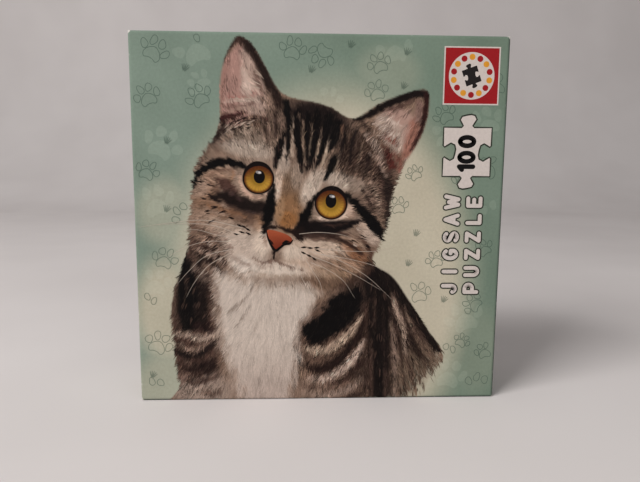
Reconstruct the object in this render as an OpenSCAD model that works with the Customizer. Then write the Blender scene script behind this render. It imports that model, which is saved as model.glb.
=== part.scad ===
// Boxed jigsaw puzzle: a square lift-off-lid box of wrapped board that stands on one side wall,
// with a hundred loose pieces in a clear bag inside. The lid's picture face looks along -Y, the
// floor is z = 0, and the origin is at the middle of the box's footprint.

/* [Box] */
// Width of the closed box
box_w = 155; // [125:1:200]
// Height of the closed box as it stands
box_h = 155; // [125:1:200]
// Depth of the closed box, from the lid's face to the back of the base
box_d = 42; // [34:1:60]
// Strip of the base that shows behind the lid's rim
base_reveal = 4; // [1:0.5:10]

/* [Board and paper] */
// Thickness of the box board
board_t = 1.5; // [1:0.1:2.5]
// Thickness of the wrapping paper with its glue
wrap_t = 0.25; // [0.15:0.05:0.4]
// Depth that the paper is turned in over the rim
turn_in = 14; // [8:1:20]
// Gap at the creases that part the paper's flat panels
crease = 0.02; // [0.01:0.01:0.05]
// Thickness of the corner tape
stay_t = 0.12; // [0.08:0.02:0.3]
// Width of the corner tape on each side of a corner
stay_leg = 12; // [8:1:20]

/* [Fits] */
// Gap all round between the lid's turned-in paper and the base
lid_clearance = 0.5; // [0.3:0.05:1.2]
// Gap between the base's rim and the inside of the lid's face
lid_gap = 0.25; // [0.1:0.05:1]
// Gap between the bag and the tray
bag_clearance = 0.3; // [0.2:0.05:1]
// Free depth kept between the bag and the tray's rim
head_room = 5; // [2:0.5:10]

/* [Puzzle] */
// Rows and columns of pieces in the finished picture
piece_rows = 10; // [10]
// Pitch of the pieces in the finished picture
piece_pitch = 20; // [16:0.5:24]
// Thickness of a piece
piece_t = 1.9; // [1.5:0.1:2.4]
// Gap that the cutting rule leaves all round a piece
cut_gap = 0.08; // [0.04:0.02:0.15]
// Radius of a knob's head
knob_r = 3; // [2:0.1:3.6]
// How far a knob's centre stands out from the piece's edge
knob_out = 2.3; // [1.5:0.1:2.6]
// Furthest that a knob wanders along its edge
knob_wander = 1.4; // [0:0.1:2]

/* [Bag] */
// Thickness of the bag's film
film_t = 0.1; // [0.05:0.01:0.2]
// Gap between the film and the pieces
film_gap = 0.4; // [0.2:0.1:1]
// Depth of one layer of loose pieces
layer_pitch = 2.6; // [2.55:0.05:3.2]
// Spare width and height round each loose piece
loose_gap = 2; // [0.5:0.1:4]
// Layers by which the heap thins from one row to the next above it
slump = 4; // [2:1:6]
// Height of the sealed strip at the bag's top
seal_h = 7; // [4:1:12]

/* [Hidden] */
$fn = 48;

greyboard = [0.62, 0.58, 0.52];
lid_green = [0.46, 0.53, 0.47];
base_green = [0.40, 0.48, 0.42];
tape_brown = [0.72, 0.62, 0.48];
piece_green = [0.55, 0.60, 0.50];
film_clear = [0.85, 0.90, 0.92, 0.35];

// Board with its paper on both faces, as at the rim
wall_t = board_t + 2 * wrap_t;

// The lid covers the base down to base_reveal; the base starts just inside the lid's face
lid_d = box_d - base_reveal;
base_w = box_w - 2 * wall_t - 2 * lid_clearance;
base_h = box_h - 2 * wall_t - 2 * lid_clearance;
base_d = box_d - wrap_t - board_t - lid_gap;

// Room in the base tray, between its turned-in papers and from its floor to its rim
tray_w = base_w - 2 * wall_t;
tray_h = base_h - 2 * wall_t;
tray_floor_y = box_d / 2 - wrap_t - board_t;
tray_rim_y = box_d / 2 - base_d;
tray_low_z = (box_h - tray_h) / 2;

// Room in the bag for the pieces
skin_t = film_t + film_gap;
bag_w = tray_w - 2 * bag_clearance;
bag_h = tray_h - 2 * bag_clearance;
bag_back_y = tray_floor_y - bag_clearance;
bag_low_z = tray_low_z + bag_clearance;
heap_back_y = bag_back_y - skin_t;
heap_low_z = bag_low_z + skin_t;
heap_w = bag_w - 2 * skin_t;
heap_h = bag_h - 2 * skin_t - seal_h;
heap_front_y = tray_rim_y + head_room + skin_t;

// A loose piece may lie at any angle in its cell, so a cell is as wide as a piece's full sweep
piece_count = piece_rows * piece_rows;
knob_reach = piece_pitch / 2 + knob_out + knob_r;
piece_sweep = 2 * norm([knob_reach, knob_wander]);
cell = piece_sweep + loose_gap;
heap_columns = floor(heap_w / cell);
heap_rows = floor(heap_h / cell);
heap_layers = floor((heap_back_y - heap_front_y) / layer_pitch);
spare_w = heap_w - heap_columns * cell;

// The pieces' places, [row, layer, column], filled slantwise so that the heap is thickest below
last_slant = heap_layers + slump * heap_rows;
heap_slots = [
  for (slant = [0:last_slant])
    for (row = [0:heap_rows - 1])
      let (layer = slant - slump * row)
        if (layer >= 0 && layer < heap_layers)
          for (column = [0:heap_columns - 1])
            [row, layer, column]
];
last_slot = heap_slots[piece_count - 1];
heap_slant = last_slot[1] + slump * last_slot[0] + 1;

// Any number that shares no factor with piece_count scatters the pieces over the slots
scatter = 37;
turn_step = 67;

// Places of the knobs: which way a knob points and how far it wanders, for the edge between
// two pieces, from the edge's own row and column
function knob_way(a, b) = (7 * a + 5 * b + floor(a * b / 3)) % 2 == 0 ? 1 : -1;
function knob_shift(a, b) = knob_wander * sin(97 * a + 61 * b + 40);

// A tray of board that opens along +Z, with its paper's outer size w by h by d and its corners
// let in for the tape
module tray_board(w, h, d) {
  difference() {
    translate([0, 0, d / 2]) {
      cube([w - 2 * wrap_t, h - 2 * wrap_t, d - 2 * wrap_t], center = true);
    }
    translate([0, 0, wrap_t + board_t + d / 2]) {
      cube([w - 2 * wrap_t - 2 * board_t, h - 2 * wrap_t - 2 * board_t, d], center = true);
    }
    tray_stays(w, h, d);
  }
}

// The four strips of corner tape, let into the outside of the board
module tray_stays(w, h, d) {
  stay_d = d - 2 * wrap_t;
  for (side_x = [0, 1]) {
    for (side_y = [0, 1]) {
      mirror([side_x, 0, 0]) {
        mirror([0, side_y, 0]) {
          translate([w / 2 - wrap_t - stay_leg, h / 2 - wrap_t - stay_leg, wrap_t]) {
            difference() {
              cube([stay_leg, stay_leg, stay_d]);
              translate([-stay_t, -stay_t, -stay_t]) {
                cube([stay_leg, stay_leg, stay_d + 2 * stay_t]);
              }
            }
          }
        }
      }
    }
  }
}

// The paper round a tray: its face and four walls, each turned over the rim to the inside, and
// parted at the creases. Two walls run right across, and the other two fit between them
module tray_wrap(w, h, d) {
  between = h - 2 * wall_t - 2 * crease;
  rim_w = w - 2 * wrap_t - 2 * crease;
  translate([-w / 2, -h / 2, 0]) {
    cube([w, h, wrap_t]);
  }
  for (side = [0, 1]) {
    mirror([0, side, 0]) {
      wrap_wall(w, h / 2, d, rim_w, w - 2 * (wrap_t + board_t));
    }
    mirror([side, 0, 0]) {
      rotate([0, 0, -90]) {
        wrap_wall(h - 2 * wrap_t - 2 * crease, w / 2, d, between, between);
      }
    }
  }
}

// One wall's paper, with its outer face at y = reach: the outside, the rim and the turn-in,
// each with its own length
module wrap_wall(outer_len, reach, d, rim_len, inner_len) {
  translate([-outer_len / 2, reach - wrap_t, wrap_t + crease]) {
    cube([outer_len, wrap_t, d - wrap_t - crease]);
  }
  translate([-rim_len / 2, reach - wall_t, d - wrap_t]) {
    cube([rim_len, wall_t, wrap_t]);
  }
  translate([-inner_len / 2, reach - wall_t, d - turn_in]) {
    cube([inner_len, wrap_t, turn_in]);
  }
}

// The base opens towards -Y, with its bottom at the back of the box
module place_base() {
  translate([0, box_d / 2, box_h / 2]) {
    rotate([90, 0, 0]) {
      children();
    }
  }
}

// The lid opens towards +Y, with its face at the front of the box
module place_lid() {
  translate([0, -box_d / 2, box_h / 2]) {
    rotate([-90, 0, 0]) {
      children();
    }
  }
}

module base_board() {
  color(greyboard) place_base() tray_board(base_w, base_h, base_d);
}

module base_wrap() {
  color(base_green) place_base() tray_wrap(base_w, base_h, base_d);
}

module base_corner_stays() {
  color(tape_brown) place_base() tray_stays(base_w, base_h, base_d);
}

module lid_board() {
  color(greyboard) place_lid() tray_board(box_w, box_h, lid_d);
}

module lid_wrap() {
  color(lid_green) place_lid() tray_wrap(box_w, box_h, lid_d);
}

module lid_corner_stays() {
  color(tape_brown) place_lid() tray_stays(box_w, box_h, lid_d);
}

// Side view of the bag in [depth, height], drawn in by inset from its outside. Its front follows
// the slant of the heap, and its top is flat
function bag_front(z_over_low) =
  skin_t + layer_pitch * min(heap_layers, heap_slant - slump * (z_over_low / cell - 1)) + skin_t;

module bag_side(inset) {
  knee_z = cell * (1 + (heap_slant - heap_layers) / slump);
  top_z = bag_h - seal_h;
  top_depth = max(bag_front(top_z), layer_pitch + 2 * skin_t);
  lean_z = cell * (1 + (heap_slant - (top_depth - 2 * skin_t) / layer_pitch) / slump);
  polygon([
    [inset, inset],
    [bag_front(0) - inset, inset],
    [bag_front(0) - inset, knee_z + 2 * skin_t - inset],
    [top_depth - inset, lean_z + 2 * skin_t - inset],
    [top_depth - inset, top_z - inset],
    [inset, top_z - inset]
  ]);
}

module piece_bag() {
  color(film_clear) {
    translate([0, bag_back_y, bag_low_z]) {
      difference() {
        bag_block(bag_w, 0);
        bag_block(bag_w - 2 * film_t, film_t);
      }
      translate([-bag_w / 2, -2 * film_t, bag_h - seal_h]) {
        cube([bag_w, 2 * film_t, seal_h]);
      }
    }
  }
}

// The bag's side view as a block of the given width
module bag_block(width, inset) {
  rotate([90, 0, -90]) {
    linear_extrude(width, center = true) {
      bag_side(inset);
    }
  }
}

// Outline of the piece at one place in the finished picture, centred on its own square: knobs
// that point out are added, and a neighbour's knobs are cut from it
module piece_outline(row, column) {
  last = piece_rows - 1;
  side = piece_pitch - 2 * cut_gap;
  east = column < last ? knob_way(row, column) : 0;
  west = column > 0 ? -knob_way(row, column - 1) : 0;
  north = row < last ? knob_way(column + 3, row) : 0;
  south = row > 0 ? -knob_way(column + 3, row - 1) : 0;
  ways = [east, north, west, south];
  shifts = [
    knob_shift(row, column),
    -knob_shift(column + 3, row),
    -knob_shift(row, column - 1),
    knob_shift(column + 3, row - 1)
  ];
  difference() {
    union() {
      square(side, center = true);
      for (edge = [0:3]) {
        if (ways[edge] > 0) {
          knob(edge, piece_pitch / 2 + knob_out, shifts[edge], knob_r - cut_gap);
        }
      }
    }
    for (edge = [0:3]) {
      if (ways[edge] < 0) {
        knob(edge, piece_pitch / 2 - knob_out, shifts[edge], knob_r + cut_gap);
      }
    }
  }
}

// A knob's head on one of a piece's four edges, numbered anticlockwise from +X
module knob(edge, out, shift, radius) {
  rotate(90 * edge) {
    translate([out, shift]) {
      circle(radius);
    }
  }
}

// One row of the finished picture, each piece lying loose in its own slot of the heap
module puzzle_row(row) {
  color(piece_green) {
    for (column = [0:piece_rows - 1]) {
      loose_piece(row, column);
    }
  }
}

module loose_piece(row, column) {
  number = row * piece_rows + column;
  slot_number = (scatter * number) % piece_count;
  slot = heap_slots[slot_number];
  sway = spare_w / 2 * sin(137 * slot[1]);
  x = (slot[2] - (heap_columns - 1) / 2) * cell + sway;
  y = heap_back_y - (slot[1] + 0.5) * layer_pitch;
  z = heap_low_z + (slot[0] + 0.5) * cell;
  translate([x, y, z]) {
    rotate([90, turn_step * number, 0]) {
      linear_extrude(piece_t, center = true) {
        piece_outline(row, column);
      }
    }
  }
}

module puzzle_row_01() { puzzle_row(0); }
module puzzle_row_02() { puzzle_row(1); }
module puzzle_row_03() { puzzle_row(2); }
module puzzle_row_04() { puzzle_row(3); }
module puzzle_row_05() { puzzle_row(4); }
module puzzle_row_06() { puzzle_row(5); }
module puzzle_row_07() { puzzle_row(6); }
module puzzle_row_08() { puzzle_row(7); }
module puzzle_row_09() { puzzle_row(8); }
module puzzle_row_10() { puzzle_row(9); }

base_board();
base_wrap();
base_corner_stays();
lid_board();
lid_wrap();
lid_corner_stays();
piece_bag();
puzzle_row_01();
puzzle_row_02();
puzzle_row_03();
puzzle_row_04();
puzzle_row_05();
puzzle_row_06();
puzzle_row_07();
puzzle_row_08();
puzzle_row_09();
puzzle_row_10();
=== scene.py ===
"""Looks of a boxed jigsaw puzzle: a square lift-off-lid box with a printed cat picture, standing on
one side wall, with a clear bag of loose pieces inside. Lengths in the picture are millimetres on
the lid's face: u runs to the right from its middle and v runs up from the floor."""
import math
import bmesh
import bpy
import numpy as np
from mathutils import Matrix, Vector


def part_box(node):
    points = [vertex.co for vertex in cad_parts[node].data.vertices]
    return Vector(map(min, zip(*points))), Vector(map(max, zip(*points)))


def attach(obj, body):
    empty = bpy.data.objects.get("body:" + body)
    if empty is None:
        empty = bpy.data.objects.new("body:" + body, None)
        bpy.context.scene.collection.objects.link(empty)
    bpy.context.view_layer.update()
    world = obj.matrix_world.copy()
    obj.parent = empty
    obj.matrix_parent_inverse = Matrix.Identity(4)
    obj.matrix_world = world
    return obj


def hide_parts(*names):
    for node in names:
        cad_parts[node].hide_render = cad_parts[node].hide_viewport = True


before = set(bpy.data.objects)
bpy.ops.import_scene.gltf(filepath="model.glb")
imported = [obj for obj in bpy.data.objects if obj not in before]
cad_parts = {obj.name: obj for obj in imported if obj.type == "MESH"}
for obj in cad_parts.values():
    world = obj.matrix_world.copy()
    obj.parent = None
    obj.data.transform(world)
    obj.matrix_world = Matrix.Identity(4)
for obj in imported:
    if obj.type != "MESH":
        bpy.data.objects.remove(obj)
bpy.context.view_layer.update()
MM = 0.001
rng = np.random.default_rng(7)

# ---------------------------------------------------------------- sizes, from the frame, in mm
lid_low, lid_high = (np.array(c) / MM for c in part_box("lid_wrap"))
base_low, base_high = (np.array(c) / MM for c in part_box("base_wrap"))
lid_board_low = np.array(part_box("lid_board")[0]) / MM
FACE_Y = lid_low[1]
BOX_W = lid_high[0] - lid_low[0]
BOX_H = lid_high[2] - lid_low[2]
LID_D = lid_high[1] - lid_low[1]
MID_V = (lid_low[2] + lid_high[2]) / 2
PAPER_T = lid_board_low[1] - lid_low[1]
BOARD_T = 1.5
WALL_T = BOARD_T + 2 * PAPER_T
TURN_IN = 14.0
EDGE_R = 0.8


# ---------------------------------------------------------------- small numeric helpers
def ramp(low, high, x):
    """Smooth step from 0 at low to 1 at high."""
    t = np.clip((x - low) / (high - low), 0, 1)
    return t * t * (3 - 2 * t)


def rgb(r, g, b):
    return np.array([r, g, b], float)


def to_linear(colour):
    c = np.clip(np.asarray(colour, float) / 255, 0, 1)
    return np.where(c <= 0.04045, c / 12.92, ((c + 0.055) / 1.055) ** 2.4)


def curve(points, closed=False, steps=6):
    """A smooth path through given points (Catmull-Rom)."""
    p = np.array(points, float)
    if closed:
        p = np.vstack([p[-1], p, p[0], p[1]])
    else:
        p = np.vstack([2 * p[0] - p[1], p, 2 * p[-1] - p[-2]])
    t = np.linspace(0, 1, steps, endpoint=False)[:, None]
    parts = []
    for a, b, c, d in zip(p[:-3], p[1:-2], p[2:-1], p[3:]):
        parts.append(0.5 * (2 * b + (c - a) * t + (2 * a - 5 * b + 4 * c - d) * t ** 2
                            + (3 * b - a - 3 * c + d) * t ** 3))
    if not closed:
        parts.append(p[-2][None])
    return np.vstack(parts)


def near_path(u, v, path, widths=None):
    """Distance from points to a path, less the path's half width there."""
    best = np.full(u.shape, 1e9)
    count = len(path) - 1
    for i in range(count):
        a, b = path[i], path[i + 1]
        d = b - a
        t = np.clip(((u - a[0]) * d[0] + (v - a[1]) * d[1]) / max(d @ d, 1e-9), 0, 1)
        gap = np.hypot(u - a[0] - t * d[0], v - a[1] - t * d[1])
        if widths is not None:
            gap = gap - np.interp((i + t) / count, np.linspace(0, 1, len(widths)), widths) / 2
        best = np.minimum(best, gap)
    return best


def inside(u, v, outline):
    """True where points lie in a closed outline."""
    hit = np.zeros(u.shape, bool)
    for (x0, y0), (x1, y1) in zip(outline, np.roll(outline, -1, axis=0)):
        if y0 == y1:
            continue
        crosses = (y0 > v) != (y1 > v)
        hit ^= crosses & (u < (x1 - x0) * (v - y0) / (y1 - y0) + x0)
    return hit


def depth_in(u, v, outline):
    """Signed distance to a closed outline, positive inside."""
    gap = near_path(u, v, np.vstack([outline, outline[:1]]))
    return np.where(inside(u, v, outline), gap, -gap)


def ripple(u, v, size, seed):
    """Cheap smooth noise of about -1 to 1, from a few crossed waves."""
    waves = np.random.default_rng(seed)
    total = np.zeros(np.shape(u))
    for _ in range(7):
        turn, phase = waves.uniform(0, 2 * np.pi, 2)
        pitch = size * waves.uniform(0.7, 1.6)
        total += np.sin((u * np.cos(turn) + v * np.sin(turn)) * 2 * np.pi / pitch + phase)
    return total / 3


def over(colour, tint, share):
    """A tint laid over a colour, at a share of 0 to 1."""
    return colour + (tint - colour) * np.clip(share, 0, 1)[..., None]


def turned(x, y, degrees):
    """A place turned anticlockwise about the origin."""
    c, s = math.cos(math.radians(degrees)), math.sin(math.radians(degrees))
    return x * c - y * s, x * s + y * c


def unit(ahead):
    """Directions along the last axis, made one long."""
    return ahead / np.maximum(np.linalg.norm(ahead, axis=-1, keepdims=True), 1e-9)


# ---------------------------------------------------------------- the picture's plain shapes
GREEN_LEFT = rgb(113, 128, 116)
GREEN_RIGHT = rgb(103, 119, 105)
CREAM = rgb(176, 168, 149)

CAT_OUTLINE = curve([
    (-58.5, -4), (-60, 6), (-61.4, 18), (-62, 28), (-63, 36), (-62.8, 43), (-61.5, 50), (-59, 57),
    (-56.5, 64), (-55, 70), (-54.2, 78), (-53.2, 86), (-53, 93), (-51.5, 100), (-48.5, 106),
    (-45, 111), (-42.5, 116), (-41.3, 122), (-41.4, 130), (-41, 137), (-39.5, 143.5),
    (-36.8, 149.5), (-34, 153.2), (-31.5, 152.6), (-28.5, 150.5), (-25, 145.5), (-21.5, 139),
    (-18, 133), (-15, 130.5), (-11, 129.1), (-6, 128.2), (-1, 127.2), (4, 125.5), (8, 123.1),
    (12, 121.2), (15.4, 121.8), (19, 124.2), (24, 127.3), (29, 129.6), (34, 131.4), (39, 132.9),
    (42.5, 133.3), (44.3, 131.8), (44.6, 127), (43.6, 120), (41.5, 114), (38.5, 108.5),
    (35, 103), (32, 97.5), (30.3, 92), (29.4, 86), (28.2, 80), (26.8, 74), (24.5, 68),
    (22, 61.5), (25, 58.5), (29.5, 56), (33, 52.5), (36, 48), (39, 43.5), (42, 39),
    (45.5, 33.5), (49, 28.5), (52.5, 24), (54, 20), (52, 15), (49.5, 10), (46.5, 4), (44.5, -4)
], closed=True, steps=3)

LEFT_EYE = (-26.0, 96.5)
RIGHT_EYE = (4.4, 86.2)
IRIS_R, RIGHT_IRIS_R = 6.0, 6.3
# The box round the cat, outside which nothing of it is drawn
CAT_LEFT, CAT_RIGHT, CAT_TOP = -66, 58, 156

BLACK = rgb(7, 5, 5)
SOOT = rgb(24, 16, 14)
TAN = rgb(122, 99, 84)
WHITE = rgb(199, 184, 172)
PINK = rgb(152, 118, 108)
CHEST_SHADE = rgb(166, 148, 138)
PALE_HAIR = rgb(150, 122, 102)
# painted shade for the lid's right edge and its edge on the floor
EDGE_SHADE = rgb(40, 48, 43)

# Soft areas of the coat, painted in this order, [middle, radii, turn in degrees, colour, strength]
AREAS = [
    # body below the head
    ((-54, 30), (12, 42), 0, (68, 49, 42), 1.0),
    ((26, 28), (22, 36), 10, (46, 33, 28), 1.0),
    ((4, 28), (16, 18), 0, (84, 64, 54), 1.0),
    ((5, 6), (16, 9), 0, (100, 79, 68), 0.9),
    ((-3, 3), (7, 8), 0, (136, 114, 100), 0.85),
    ((44, 12), (14, 12), -40, (94, 78, 65), 0.85),
    ((-50, 5), (15, 10), 0, (146, 127, 115), 0.95),
    # head
    ((-15, 88), (34, 26), -12, (138, 116, 101), 1.0),
    ((-34, 113), (15, 7), -14, (128, 111, 98), 1.0),
    ((-44, 112), (5, 6), -40, (92, 74, 64), 0.8),
    ((-30, 108), (12, 3.8), -12, (154, 138, 125), 0.95),
    ((-48, 103), (5, 8), -25, (120, 100, 86), 0.8),
    ((-43, 97.2), (7, 3.6), -10, (146, 118, 99), 0.9),
    ((-47, 86), (6, 7), 0, (128, 98, 78), 0.9),
    ((-50, 92), (4, 4), 0, (146, 122, 106), 0.8),
    ((-45, 79), (10, 6), -10, (146, 121, 104), 0.95),
    ((-36, 74), (12, 6), -25, (156, 135, 119), 0.95),
    ((-31, 80.5), (9, 3.6), -14, (104, 80, 66), 0.95),
    ((-25.6, 77.6), (2.6, 3.4), 0, (158, 128, 106), 0.8),
    ((-9, 106), (9, 13), 8, (112, 92, 79), 0.9),
    ((-15.5, 103), (3, 9), 6, (166, 148, 134), 0.95),
    ((-12, 91), (6, 9), 5, (112, 88, 70), 0.9),
    ((-13.6, 82), (6.2, 9), -4, (128, 94, 66), 0.95),
    ((-13.6, 79), (4.4, 4), 0, (136, 92, 55), 0.85),
    ((-17.2, 84), (2.2, 6), -6, (148, 116, 88), 0.8),
    ((-18.2, 93), (2.2, 7), -5, (192, 168, 150), 1.0),
    ((-10, 97), (3, 6), 0, (150, 131, 116), 0.8),
    ((-4, 93), (3.8, 8.4), -28, (186, 168, 153), 1.0),
    ((8, 95.4), (11, 3.6), -14, (166, 149, 135), 1.0),
    ((16, 92), (6, 3), -35, (140, 121, 107), 0.85),
    ((18, 86), (6, 5), -30, (98, 79, 68), 0.8),
    ((15, 106), (10, 10), -30, (52, 38, 32), 0.97),
    ((25, 94), (6, 13), -8, (60, 43, 37), 0.85),
    ((22, 90), (3.4, 8), 12, (112, 92, 80), 0.7),
    ((21, 73), (6, 4), -40, (168, 148, 133), 0.95),
    ((17, 78.5), (3.6, 2.6), -30, (160, 138, 122), 0.85),
    ((-2, 119), (15, 10), -14, (22, 15, 14), 0.97),
    ((-20.5, 119), (6, 8), 10, (96, 78, 68), 0.85),
    ((14, 65.5), (8, 3.2), -32, (134, 92, 66), 0.95),
    ((10, 60), (9, 4), -18, (140, 112, 92), 0.85),
    ((-32, 67), (12, 8), -22, (186, 168, 154), 1.0),
    ((-24, 70), (4, 6), -10, (196, 178, 162), 1.0),
    ((-1, 67.6), (13, 4.6), -10, (186, 164, 146), 1.0),
    ((4, 72.4), (11, 2.4), -6, (104, 82, 69), 0.85),
    ((-11, 64.5), (6, 4.5), -20, (194, 176, 160), 1.0),
    ((-7, 59), (11, 4.2), -8, (176, 152, 134), 0.95),
    ((-20, 58.3), (15, 4), -3, (200, 184, 170), 1.0),
    ((-32, 60), (7, 4), -28, (200, 186, 174), 0.95),
    ((6, 54), (8, 3.4), 16, (122, 98, 78), 0.9),
    ((2, 57), (6, 3), -10, (142, 117, 97), 0.85),
    ((-46, 66), (7, 7), -30, (128, 104, 90), 0.85),
]

CHEST = curve([
    (-45, 57), (-40, 57.5), (-34, 56), (-26, 53), (-14, 52.6), (-6, 52.4), (-2, 49), (-2.5, 44),
    (-5, 38.5), (-8, 34), (-9, 27), (-8.5, 20), (-10.5, 12), (-12.5, 5), (-14, -4), (-33, -4), (-35, 5),
    (-38, 14), (-40.5, 22), (-42, 30), (-43, 37), (-44.5, 47)
], closed=True, steps=3)

SHOULDER_PATCH = curve([
    (-7.5, 32.5), (-5.5, 28), (-2.5, 25.2), (1, 26), (5, 28.6), (10, 31.8), (14, 35.6), (17.4, 41),
    (18.6, 47), (15.6, 51.6), (12.4, 49.4), (9.4, 48.6), (6.4, 46.4), (3.6, 44.6), (4.2, 42.6), (1.2, 41.2),
    (1.6, 39.4), (-2.8, 36.6)
], closed=True, steps=3)

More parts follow.
